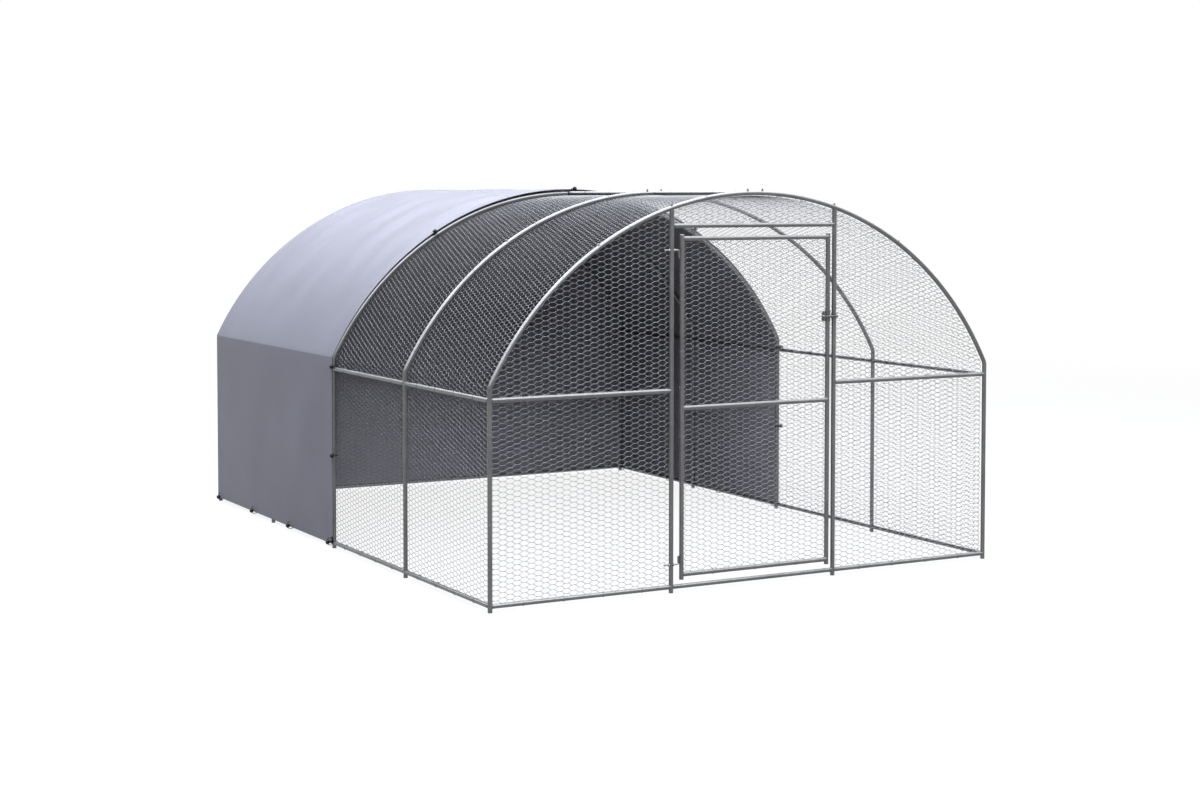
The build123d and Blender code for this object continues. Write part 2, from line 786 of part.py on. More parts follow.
eyelet_barrel_r = eyelet_bore_d / 2 + eyelet_wall
eyelet_hole_r = eyelet_barrel_r + eyelet_clearance
with BuildPart() as cover_eyelets:
    for frame, sheet in ties:
        inner_face = sheet - eyelet_clearance
        outer_face = sheet + cover_thickness + eyelet_clearance
        low = at(frame, eyelet_setback, inner_face - eyelet_wall)
        high = at(frame, eyelet_setback, outer_face + eyelet_wall)
        rod(low, high, eyelet_barrel_r)
        rod(low, at(frame, eyelet_setback, inner_face), eyelet_flange_d / 2)
        rod(at(frame, eyelet_setback, outer_face), high, eyelet_flange_d / 2)
        rod(low, high, eyelet_bore_d / 2, Mode.SUBTRACT)
save(cover_eyelets, "cover_eyelets")


def pierce(some_ties):
    """Holes for eyelets in a cover panel."""
    for frame, sheet in some_ties:
        rod(
            at(frame, eyelet_setback, sheet - tie_cord_d),
            at(frame, eyelet_setback, sheet + cover_thickness + tie_cord_d),
            eyelet_hole_r,
            Mode.SUBTRACT,
        )


# Cover: an arched roof, two walls and a rear panel
with BuildPart() as cover_roof:
    with BuildSketch(across(cover_front_y)) as roof_band:
        with Locations((0, cover_centre_z)):
            Circle(cover_radius + cover_thickness)
            Circle(cover_radius, mode=Mode.SUBTRACT)
        with Locations((0, cover_knee_height)):
            Rectangle(2 * run_width, run_width, align=(Align.CENTER, Align.MIN), mode=Mode.INTERSECT)
    extrude(roof_band.sketch, amount=cover_front_y - cover_rear_y)
    pierce(arch_ties)
save(cover_roof, "cover_roof")

for name, side in (("cover_left_wall", -1), ("cover_right_wall", 1)):
    with BuildPart() as cover_wall:
        with BuildSketch(Plane.XY.offset(rail_height)) as wall_plan:
            with Locations((side * (cover_wall_x + cover_thickness / 2), (cover_front_y + cover_rear_y) / 2)):
                Rectangle(cover_thickness, cover_rear_y - cover_front_y)
        extrude(wall_plan.sketch, amount=cover_knee_height - rail_height)
        pierce([tie for tie in leg_ties + ground_ties if tie[0].origin.X * side > 0])
    save(cover_wall, name)

with BuildPart() as cover_rear:
    with BuildSketch(across(cover_rear_y)) as rear_shape:
        with Locations((0, cover_centre_z)):
            Circle(cover_radius + cover_thickness)
        with Locations((0, rail_height)):
            Rectangle(
                2 * (cover_wall_x + cover_thickness),
                run_width,
                align=(Align.CENTER, Align.MIN),
                mode=Mode.INTERSECT,
            )
    extrude(rear_shape.sketch, amount=-cover_thickness)
save(cover_rear, "cover_rear")


# Netting: one holed face for each flat net
def clip(points, line):
    """Cut a convex polygon back to the side where u * a + v * b is at most c."""
    a, b, c = line
    kept = []
    for (u0, v0), (u1, v1) in zip(points, points[1:] + points[:1]):
        over0 = u0 * a + v0 * b - c
        over1 = u1 * a + v1 * b - c
        if over0 <= 0:
            kept.append((u0, v0))
        if over0 * over1 < 0:
            share = over0 / (over0 - over1)
            kept.append((u0 + (u1 - u0) * share, v0 + (v1 - v0) * share))
    return kept


def polygon_area(points):
    """Area of a polygon given in order round its rim."""
    pairs = zip(points, points[1:] + points[:1])
    return abs(sum(u0 * v1 - u1 * v0 for (u0, v0), (u1, v1) in pairs)) / 2


def hexagon():
    """One gap of the netting: flat top and bottom, less half a bar all round."""
    half_pitch = mesh_pitch / 2
    slant_run = mesh_step - mesh_twist
    tip_loss = mesh_bar / 2 * math.hypot(slant_run, half_pitch) / half_pitch
    tip = mesh_twist / 2 + slant_run - tip_loss
    top = half_pitch - mesh_bar / 2
    shoulder = tip - top * slant_run / half_pitch
    return [(tip, 0), (shoulder, top), (-shoulder, top), (-tip, 0), (-shoulder, -top), (shoulder, -top)]


def add_net(plane, low, high, arch=None):
    """Net on a plane between two corners, with its top cut to an arch (centre v and radius) if given."""
    with BuildSketch(plane) as outline:
        with Locations(((low[0] + high[0]) / 2, (low[1] + high[1]) / 2)):
            Rectangle(high[0] - low[0], high[1] - low[1])
        if arch:
            with Locations((0, arch[0])):
                Circle(arch[1], mode=Mode.INTERSECT)
    edges = [
        (-1, 0, -low[0] - net_selvedge),
        (1, 0, high[0] - net_selvedge),
        (0, -1, -low[1] - net_selvedge),
        (0, 1, high[1] - net_selvedge),
    ]
    columns = math.ceil((high[0] - low[0]) / mesh_step / 2) + 1
    rows = math.ceil((high[1] - low[1]) / mesh_pitch / 2) + 1
    gaps = []
    for column in range(-columns, columns + 1):
        for row in range(-rows, rows + 1):
            u = (low[0] + high[0]) / 2 + column * mesh_step
            v = (low[1] + high[1]) / 2 + (row + column % 2 / 2) * mesh_pitch
            gap = [(u + du, v + dv) for du, dv in hexagon()]
            lines = list(edges)
            if arch:
                reach = math.hypot(u, v - arch[0])
                a = u / reach
                b = (v - arch[0]) / reach
                lines.append((a, b, arch[1] - net_selvedge + b * arch[0]))
            for line in lines:
                gap = clip(gap, line) if gap else gap
            if len(gap) > 2 and polygon_area(gap) > smallest_gap_area:
                gaps.append(gap)
    rim = outline.sketch.face().outer_wire()
    holes = [Wire.make_polygon([plane.from_local_coords((u, v, 0)) for u, v in gap]) for gap in gaps]
    extrude(Face(rim, holes), amount=net_thickness, dir=plane.z_dir)


def notch(some_ties):
    """Room in a net for the ties that pass through its mesh."""
    for frame, sheet in some_ties:
        for along in (eyelet_setback, -tie_front):
            rod(
                at(frame, along, -tie_inner),
                at(frame, along, 0),
                tie_cord_r + net_notch_margin,
                Mode.SUBTRACT,
            )


def ridge_notch(y):
    """Room in an end net for the ridge fitting."""
    rod(
        (0, y - tube_od, ridge_height),
        (0, y + tube_od, ridge_height),
        tube_r + net_notch_margin,
        Mode.SUBTRACT,
    )


for name, side in (("net_left_wall", -1), ("net_right_wall", 1)):
    with BuildPart() as wall_net:
        wall_plane = Plane(origin=(side * net_wall_x, 0, 0), x_dir=(0, -side, 0), z_dir=(-side, 0, 0))
        add_net(wall_plane, (-net_end, rail_height), (net_end, net_knee_z - net_knee_gap))
        notch([tie for tie in leg_ties + ground_ties if tie[0].origin.X * side > 0])
    save(wall_net, name)

strip_angle = (net_knee_angle - arc_of(net_knee_gap)) / roof_strips
strip_half = net_arch_radius * math.sin(math.radians(strip_angle / 2)) - net_strip_gap
strip_radius = net_arch_radius * math.cos(math.radians(strip_angle / 2))
for name, side in (("net_roof_left", -1), ("net_roof_right", 1)):
    with BuildPart() as roof_net:
        for strip in range(roof_strips):
            angle = side * strip_angle * (strip + 0.5)
            x, z = arch_point(angle, strip_radius)
            turn = math.radians(angle)
            strip_plane = Plane(
                origin=(x, 0, z), x_dir=(0, 1, 0), z_dir=(-math.sin(turn), 0, -math.cos(turn))
            )
            add_net(strip_plane, (-net_end, -strip_half), (net_end, strip_half))
        notch([tie for tie in arch_ties if tie[0].origin.X * side > 0])
    save(roof_net, name)

front_net_plane = Plane(origin=(0, front_y + net_inset, 0), x_dir=(-1, 0, 0), z_dir=(0, 1, 0))
rear_net_plane = Plane(origin=(0, rear_y - net_inset, 0), x_dir=(1, 0, 0), z_dir=(0, -1, 0))
front_arch = (arch_centre_z, arch_radius)
beside_door = post_offset + net_strip_gap
latch_notch_r = clamp_outer_r + net_notch_margin
with BuildPart() as net_front_left:
    add_net(front_net_plane, (beside_door, rail_height), (net_front_half, ridge_height), front_arch)
save(net_front_left, "net_front_left")

with BuildPart() as net_front_right:
    add_net(front_net_plane, (-net_front_half, rail_height), (-beside_door, ridge_height), front_arch)
    rod(
        (post_offset, front_y, keeper_bottom - net_notch_margin),
        (post_offset, front_y, keeper_top + net_notch_margin),
        latch_notch_r,
        Mode.SUBTRACT,
    )
save(net_front_right, "net_front_right")

with BuildPart() as net_front_top:
    top_half = post_offset - net_strip_gap
    add_net(front_net_plane, (-top_half, lintel_height), (top_half, ridge_height), front_arch)
    ridge_notch(front_y)
save(net_front_top, "net_front_top")

with BuildPart() as net_rear:
    add_net(rear_net_plane, (-net_front_half, rail_height), (net_front_half, ridge_height), front_arch)
    ridge_notch(rear_y)
save(net_rear, "net_rear")

with BuildPart() as net_door:
    add_net(
        front_net_plane,
        (-latch_stile_x, door_bottom_rail_height),
        (-hinge_stile_x, door_top_rail_height),
    )
    rod(
        (latch_stile_x, front_y, clamp_bottom - net_notch_margin),
        (latch_stile_x, front_y, clamp_top + net_notch_margin),
        latch_notch_r,
        Mode.SUBTRACT,
    )
save(net_door, "net_door")
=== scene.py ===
"""Dresses the walk-in poultry run: wire netting, tied cover, galvanised tube and a plain studio."""

import json
import logging
import math
from dataclasses import dataclass, field
from enum import Enum
from typing import Callable, Sequence

import bmesh
import bpy
import numpy as np
from bmesh.types import BMEdge, BMesh, BMVert
from bpy.types import Material, Mesh, Node, NodeSocket, NodeTree, Object
from mathutils import Matrix, Vector


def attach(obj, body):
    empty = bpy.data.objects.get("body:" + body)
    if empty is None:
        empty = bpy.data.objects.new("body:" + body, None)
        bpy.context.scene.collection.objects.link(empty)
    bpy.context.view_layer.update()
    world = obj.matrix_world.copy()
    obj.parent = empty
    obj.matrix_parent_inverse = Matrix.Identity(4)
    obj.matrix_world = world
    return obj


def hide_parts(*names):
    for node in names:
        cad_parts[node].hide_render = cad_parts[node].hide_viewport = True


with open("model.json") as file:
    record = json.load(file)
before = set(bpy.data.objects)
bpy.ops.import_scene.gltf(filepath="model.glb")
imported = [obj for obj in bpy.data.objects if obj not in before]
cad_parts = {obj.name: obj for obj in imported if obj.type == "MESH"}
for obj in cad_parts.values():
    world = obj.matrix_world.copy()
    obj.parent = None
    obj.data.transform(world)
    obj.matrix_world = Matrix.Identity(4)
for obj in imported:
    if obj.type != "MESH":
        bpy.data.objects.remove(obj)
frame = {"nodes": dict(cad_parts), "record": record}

LOG = logging.getLogger("poultry_run")
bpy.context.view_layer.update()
UP = Vector((0.0, 0.0, 1.0))
FULL_TURN = 2 * math.pi
# Points closer than this, in metres, are one point of a mesh.
SAME_POINT = 0.00001
# Radians by which a Wave texture turns over a metre at a scale of 1.
WAVE_TURN = 20.0

Pair = tuple[float, float]
Triple = tuple[float, float, float]
Feed = NodeSocket | float | tuple[float, ...]
Layout = Callable[[np.ndarray, np.ndarray, np.ndarray], np.ndarray]
Spot = Callable[[int, int], tuple[Vector, Pair]]


class Body(Enum):
    """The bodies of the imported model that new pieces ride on."""

    FRAME = "frame"
    DOOR = "door"


class Slot(Enum):
    """Material slots of the record."""

    TUBE = "galvanised_tube"
    NETTING = "wire_netting"
    COVER = "cover_fabric"
    HARDWARE = "zinc_hardware"
    LATCH = "latch_steel"
    EYELET = "eyelet_metal"
    CORD = "tie_cord"
    BALL = "tie_ball"


class Side(Enum):
    """Left and right of the run, seen from the door, as the sign of X."""

    LEFT = -1
    RIGHT = 1

    @property
    def label(self) -> str:
        """Word for the side in the names of pieces."""
        return self.name.lower()


@dataclass(frozen=True)
class RunShape:
    """Main sizes of the run, between tube axes, in metres."""

    half_width: float = 1.5
    half_length: float = 2.0
    bay: float = 1.0
    ridge: float = 2.0
    knee: float = 1.077
    rail: float = 0.030
    eave: float = 1.015
    tube_radius: float = 0.0115
    post_x: float = 0.4935
    lintel: float = 1.837
    hinge_stile_x: float = -0.433
    latch_stile_x: float = 0.454
    door_bottom: float = 0.088
    door_mid: float = 0.925
    door_top: float = 1.773
    stile_bottom: float = 0.065
    stile_top: float = 1.790

    @property
    def arch_radius(self) -> float:
        """Radius of a hoop's arch on its axis."""
        rise = self.ridge - self.knee
        return (self.half_width**2 + rise**2) / (2 * rise)

    @property
    def arch_centre(self) -> float:
        """Height of the arch's centre."""
        return self.ridge - self.arch_radius

    @property
    def door_rails(self) -> Triple:
        """Heights of the door's rails."""
        return self.door_bottom, self.door_mid, self.door_top

    def arch_point(self, angle: float, y: float, out: float = 0.0) -> Vector:
        """Point of a hoop at an angle to the right of the vertical, on its axis or outside it."""
        radius = self.arch_radius + out
        return Vector((radius * math.sin(angle), y, self.arch_centre + radius * math.cos(angle)))


RUN = RunShape()


@dataclass(frozen=True)
class Wave:
    """A plane wave over a sheet: radians for a metre of each direction, start and height."""

    u: float
    v: float
    start: float = 0.0
    height: float = 1.0

    def at(self, u: float | np.ndarray, v: float | np.ndarray) -> float | np.ndarray:
        """Height of the wave at a place or at many."""
        return self.height * np.sin(self.u * u + self.v * v + self.start)


def aim(middle: Vector, axis: Vector) -> Matrix:
    """Matrix that lays a shape made round Z about a middle, along an axis."""
    return Matrix.Translation(middle) @ axis.to_track_quat("Z", "Y").to_matrix().to_4x4()


def plane(origin: Triple, *axes: Triple) -> Layout:
    """Layout of a flat net from its origin and the directions of its u, v and w."""
    return lambda u, v, w: np.array(origin) + np.stack([u, v, w], axis=1) @ np.array(axes)


def revolve(
    bm: BMesh, verts: list[BMVert], edges: list[BMEdge], steps: int, place: Matrix
) -> list[BMVert]:
    """Spin a profile a full turn round Z and lay the shape in its place.

    Args:
        bm: Bmesh that holds the profile.
        verts: Points of the profile.
        edges: Edges of the profile.
        steps: Steps round the turn.
        place: Where the shape goes.

    Returns:
        The points of the finished shape.
    """
    before = set(bm.faces)
    bmesh.ops.spin(
        bm, geom=verts + edges, cent=(0, 0, 0), axis=UP, angle=FULL_TURN, steps=steps, use_merge=True
    )
    faces = [face for face in bm.faces if face not in before]
    doubled = list(dict.fromkeys(vert for face in faces for vert in face.verts))
    bmesh.ops.remove_doubles(bm, verts=doubled, dist=SAME_POINT)
    faces = [face for face in bm.faces if face not in before]
    bmesh.ops.recalc_face_normals(bm, faces=faces)
    shape = list(dict.fromkeys(vert for face in faces for vert in face.verts))
    bmesh.ops.transform(bm, matrix=place, verts=shape)
    return shape


def add_ring(
    bm: BMesh, place: Matrix, radius: float, wire: float, steps: int, sides: int
) -> list[BMVert]:
    """Add a closed ring round a matrix's Z axis.

    Args:
        bm: Bmesh to add to.
        place: Where the ring's middle lies and how it is turned.
        radius: Radius to the middle of the wire.
        wire: Radius of the wire.
        steps: Steps round the ring.
        sides: Sides of the wire.

    Returns:
        The points of the ring.
    """
    upright = Matrix.Translation((radius, 0, 0)) @ Matrix.Rotation(math.pi / 2, 4, "X")
    verts = bmesh.ops.create_circle(bm, segments=sides, radius=wire, matrix=upright)["verts"]
    edges = list(dict.fromkeys(edge for vert in verts for edge in vert.link_edges))
    return revolve(bm, verts, edges, steps, place)


@dataclass(frozen=True)
class NodeGraph:
    """A node tree, with short ways to add the nodes that the finishes share."""

    tree: NodeTree

    def feed(self, socket: NodeSocket, value: Feed) -> None:
        """Link an input to a socket, or set its value.

        Args:
            socket: Input to feed.
            value: Socket to link, or value to set.
        """
        if isinstance(value, NodeSocket):
            self.tree.links.new(value, socket)
        else:
            socket.default_value = value

    def fill(self, node: Node, **inputs: Feed) -> Node:
        """Feed a node's inputs by name.

        Args:
            node: Node to fill.
            inputs: What feeds each input, whose name has _ for a space.

        Returns:
            The same node.
        """
        for name, value in inputs.items():
            self.feed(node.inputs[name.replace("_", " ")], value)
        return node

    def node(self, kind: str, **inputs: Feed) -> Node:
        """Add a shader node of a kind and feed its inputs."""
        return self.fill(self.tree.nodes.new(f"ShaderNode{kind}"), **inputs)

    def maths(self, operation: str, *values: NodeSocket | float) -> NodeSocket:
        """Add a Math node.

        Args:
            operation: What it does.
            values: What feeds its inputs, in order.

        Returns:
            The result socket.
        """
        node = self.node("Math")
        node.operation = operation
        for socket, value in zip(node.inputs, values):
            self.feed(socket, value)
        return node.outputs["Value"]

    def noise(self, coords: NodeSocket, scale: float, detail: float) -> NodeSocket:
        """Add a noise texture with so many octaves of detail, read at the given coordinates."""
        return self.node("TexNoise", Vector=coords, Scale=scale, Detail=detail).outputs["Fac"]

    def span(self, value: NodeSocket, low: float, high: float, full: float = 1.0) -> NodeSocket:
        """Map a value from 0 up to its full size onto the range from low to high."""
        node = self.node("MapRange", Value=value, From_Max=full, To_Min=low, To_Max=high)
        return node.outputs["Result"]

    def bump(self, shader: Node, height: NodeSocket, strength: float, distance: float) -> None:
        """Drive a shader's normal from a height, which stands for a distance in metres."""
        node = self.node("Bump", Height=height, Strength=strength, Distance=distance)
        self.fill(shader, Normal=node.outputs["Normal"])

    def mix(self, share: NodeSocket, first: NodeSocket, second: NodeSocket) -> NodeSocket:
        """Mix two shaders.

        Args:
            share: Share of the second one.
            first: First shader.
            second: Second shader.

        Returns:
            The shader socket.
        """
        node = self.node("MixShader", Fac=share)
        self.feed(node.inputs[1], first)
        self.feed(node.inputs[2], second)
        return node.outputs["Shader"]


@dataclass(frozen=True)
class Finish:
    """Base of the finishes: a node material between a dark and a light tone."""

    name: str
    dark: Triple
    light: Triple
    dark_at: float = 0.3
    light_at: float = 0.7

    def start(self) -> tuple[Material, NodeGraph, Node]:
        """Make a node material.

        Returns:
            The material, its node graph and its Principled node.
        """
        material = bpy.data.materials.new(self.name)
        material.use_nodes = True
        graph = NodeGraph(material.node_tree)
        return material, graph, graph.tree.nodes["Principled BSDF"]

    def tone(self, graph: NodeGraph, value: NodeSocket) -> NodeSocket:
        """Map a value to a colour between the two tones.

        Args:
            graph: Node graph to add to.
            value: Socket with the value.

        Returns:
            The colour socket.
        """
        node = graph.node("ValToRGB", Fac=value)
        stops = ((self.dark_at, self.dark), (self.light_at, self.light))
        for element, (position, colour) in zip(node.color_ramp.elements, stops):
            element.position = position
            element.color = (*colour, 1.0)
        return node.outputs["Color"]


@dataclass(frozen=True)
class Galvanised(Finish):
    """Zinc coated steel: crystals of zinc, dull patches and fine pits."""

    name: str = "galvanised"
    dark: Triple = (0.11, 0.11, 0.108)
    light: Triple = (0.16, 0.16, 0.157)
    dark_at: float = 0.35
    light_at: float = 0.95
    metallic: float = 0.75
    specular: float = 0.5
    rough_low: float = 0.25
    rough_high: float = 0.35
    crystal_scale: float = 90.0
    crystal_share: float = 0.35
    patch_scale: float = 6.0
    patch_detail: float = 3.0
    pit_scale: float = 900.0
    pit_detail: float = 2.0
    pit_strength: float = 0.15
    pit_height: float = 0.0002

    def material(self) -> Material:
        """Make the material.

        Returns:
            The finished material.
        """
        material, graph, shader = self.start()
        coords = graph.node("TexCoord").outputs["Object"]
        crystals = graph.node("TexVoronoi", Vector=coords, Scale=self.crystal_scale).outputs["Color"]
        patches = graph.noise(coords, self.patch_scale, self.patch_detail)
        both = graph.maths("MULTIPLY_ADD", crystals, self.crystal_share, patches)
        graph.fill(
            shader,
            Base_Color=self.tone(graph, both),
            Roughness=graph.span(both, self.rough_low, self.rough_high),
            Metallic=self.metallic,
            Specular_IOR_Level=self.specular,
        )
        pits = graph.noise(coords, self.pit_scale, self.pit_detail)
        graph.bump(shader, pits, self.pit_strength, self.pit_height)
        return material


@dataclass(frozen=True)
class CoverCloth(Finish):
    """Woven tape cloth with a thin coating: flat tapes over and under, faint patches."""

    name: str = "cover_cloth"
    dark: Triple = (0.205, 0.204, 0.234)
    light: Triple = (0.236, 0.235, 0.270)
    light_at: float = 0.8
    tape: float = 0.0026
    tape_share: float = 0.25
    tape_strength: float = 0.5
    tape_height: float = 0.00012
    patch_scale: float = 2.2
    patch_detail: float = 4.0
    rough: float = 0.33
    specular: float = 0.03
    sheen: float = 0.15

    def material(self) -> Material:
        """Make the material.

        Returns:
            The finished material.
        """
        material, graph, shader = self.start()
        flat = graph.node("TexCoord").outputs["UV"]
        tapes = []
        for direction in ("X", "Y"):
            wave = graph.node("TexWave", Vector=flat, Scale=FULL_TURN / (WAVE_TURN * self.tape))
            wave.bands_direction = direction
            tapes.append(wave.outputs["Fac"])
        weave = graph.maths("MULTIPLY", *tapes)
        patches = graph.noise(flat, self.patch_scale, self.patch_detail)
        graph.fill(
            shader,
            Base_Color=self.tone(graph, graph.maths("MULTIPLY_ADD", weave, self.tape_share, patches)),
            Roughness=self.rough,
            Specular_IOR_Level=self.specular,
            Sheen_Weight=self.sheen,
        )
        graph.bump(shader, weave, self.tape_strength, self.tape_height)
        return material


@dataclass(frozen=True)
class BlackRubber(Finish):
    """Black elastic cord or moulded ball: near black, with a fine grain."""

    name: str = "elastic_cord"
    dark: Triple = (0.006, 0.006, 0.007)
    light: Triple = (0.016, 0.016, 0.018)
    rough: float = 0.75
    specular: float = 0.12
    grain_scale: float = 1400.0
    grain_detail: float = 2.0
    grain_strength: float = 0.3
    grain_height: float = 0.0002

    def material(self) -> Material:
        """Make the material.

        Returns:
            The finished material.
        """
        material, graph, shader = self.start()
        coords = graph.node("TexCoord").outputs["Object"]
        grain = graph.noise(coords, self.grain_scale, self.grain_detail)
        graph.fill(
            shader,
            Base_Color=self.tone(graph, grain),
            Roughness=self.rough,
            Specular_IOR_Level=self.specular,
        )
        graph.bump(shader, grain, self.grain_strength, self.grain_height)
        return material


@dataclass
class Finishes:
    """The materials of each slot; a sheet has one for its outer and one for its inner face, whose
    lighter tone is painted light.
    """

    by_slot: dict[Slot, list[Material]] = field(default_factory=dict)

    def make(self) -> "Finishes":
        """Make every material once.

        Returns:
            This object.
        """
        netting = Galvanised(
            name="netting_wire",
            dark=(0.192, 0.192, 0.196),
            light=(0.26, 0.26, 0.265),
            metallic=0.4,
            specular=0.0,
            rough_low=0.38,
            rough_high=0.48,
        )
        hardware = Galvanised(
            name="zinc_plated", dark=(0.15, 0.15, 0.153), light=(0.21, 0.21, 0.214), rough_low=0.22
        )
        latch = Galvanised(name="latch_steel", dark=(0.085, 0.085, 0.085), light=(0.13, 0.13, 0.13))
        eyelet = Galvanised(name="eyelet_metal", dark=(0.22, 0.22, 0.22), light=(0.30, 0.30, 0.30))
        # The inner face is about twice as light as the outer: painted light, standing in for light that
        # passes through the cloth into the run.
        inside = CoverCloth(
            name="cover_inside_painted_light", dark=(0.42, 0.407, 0.432), light=(0.47, 0.456, 0.484), rough=0.7
        )
        made = {
            Slot.TUBE: [Galvanised()],
            Slot.NETTING: [netting],
            Slot.COVER: [CoverCloth(), inside],
            Slot.HARDWARE: [hardware],
            Slot.LATCH: [latch],
            Slot.EYELET: [eyelet],
            Slot.CORD: [BlackRubber()],
            Slot.BALL: [BlackRubber(name="ball_plastic", rough=0.35, grain_height=0.00005)],
        }
        self.by_slot = {slot: [finish.material() for finish in faces] for slot, faces in made.items()}
        return self

    def piece(self, name: str, bm: BMesh, body: Body, slot: Slot) -> Object:
        """Turn a bmesh into a piece that rides on a body and has the finish of its slot.

        Args:
            name: Name of the piece.
            bm: Finished bmesh, freed here.
            body: Body that the piece moves with.
            slot: Material slot of the record.

        Returns:
            The new object.
        """
        for face in bm.faces:
            face.smooth = True
        mesh = bpy.data.meshes.new(name)
        bm.to_mesh(mesh)
        bm.free()
        for material in self.by_slot[slot]:
            mesh.materials.append(material)
        piece = bpy.data.objects.new(name, mesh)
        bpy.context.scene.collection.objects.link(piece)
        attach(piece, body.value)
        LOG.info("%s: %d faces on %s", name, len(mesh.polygons), body.value)
        return piece


@dataclass
class TubeFrame:
    """The CAD frame, door and latch: their finishes, and the welds and plugs of the door."""

    finishes: Finishes
    node_merge: float = 0.00002
    split_degrees: float = 40.0
    weld_radius: float = 0.0022
    weld_steps: int = 24
    weld_sides: int = 8
    plug_lip: float = 0.0008
    plug_rim: float = 0.001
    plug_rise: float = 0.004
    plug_dome: tuple[Pair, ...] = ((0.8, 0.7), (0.45, 0.95), (0.0, 1.0))

    def dress_nodes(self) -> None:
        """Give every CAD node the finish of its slot, with smooth round tubes."""
        slots = {part["node"]: Slot(part["material_slot"]) for part in frame["record"]["subparts"]}
        for name, node in frame["nodes"].items():
            node.data.materials.clear()
            node.data.materials.append(self.finishes.by_slot[slots[name]][0])
            weld = node.modifiers.new("weld", "WELD")
            weld.merge_threshold = self.node_merge
            split = node.modifiers.new("edges", "EDGE_SPLIT")
            split.split_angle = math.radians(self.split_degrees)
            node.data.shade_smooth()
        LOG.info("dressed %d CAD nodes", len(slots))

    def build(self) -> None:
        """Add welds and end plugs to the door."""
        welds = bmesh.new()
        plugs = bmesh.new()
        for stile, way in ((RUN.hinge_stile_x, 1), (RUN.latch_stile_x, -1)):
            for height in RUN.door_rails:
                self.add_weld(welds, stile, height, way)
            upper = Matrix.Translation((stile, -RUN.half_length, RUN.stile_top))
            lower = Matrix.Translation((stile, -RUN.half_length, RUN.stile_bottom))
            self.add_plug(plugs, upper)
            self.add_plug(plugs, lower @ Matrix.Rotation(math.pi, 4, "X"))
        self.finishes.piece("door_welds", welds, Body.DOOR, Slot.TUBE)
        self.finishes.piece("door_stile_plugs", plugs, Body.DOOR, Slot.TUBE)

    def add_weld(self, bm: BMesh, stile: float, height: float, way: int) -> None:
        """Add the bead where a door rail meets a stile, bent to the stile's round.

        Args:
            bm: Bmesh to add to.
            stile: X of the stile's axis.
            height: Height of the rail's axis.
            way: Direction of the rail along X.
        """
        place = Matrix.Rotation(math.pi / 2, 4, "Y")
        ring = add_ring(bm, place, RUN.tube_radius, self.weld_radius, self.weld_steps, self.weld_sides)
        for vert in ring:
            bend = math.sqrt(max(RUN.tube_radius**2 - vert.co.y**2, 0.0))
            vert.co += Vector((way * bend + stile, -RUN.half_length, height))

    def add_plug(self, bm: BMesh, place: Matrix) -> None:
        """Add a domed plug that closes a stile's end.

        Args:
            bm: Bmesh to add to.
            place: Middle of the tube's end, with Z out of the tube.
        """
        rim = RUN.tube_radius + self.plug_lip
        profile = [(rim, -self.plug_rim), (rim, self.plug_rim)]
        profile += [(rim * wide, self.plug_rise * high) for wide, high in self.plug_dome]
        verts = [bm.verts.new((radius, 0, rise)) for radius, rise in profile]
        edges = [bm.edges.new(pair) for pair in zip(verts, verts[1:])]
        revolve(bm, verts, edges, self.weld_steps, place)


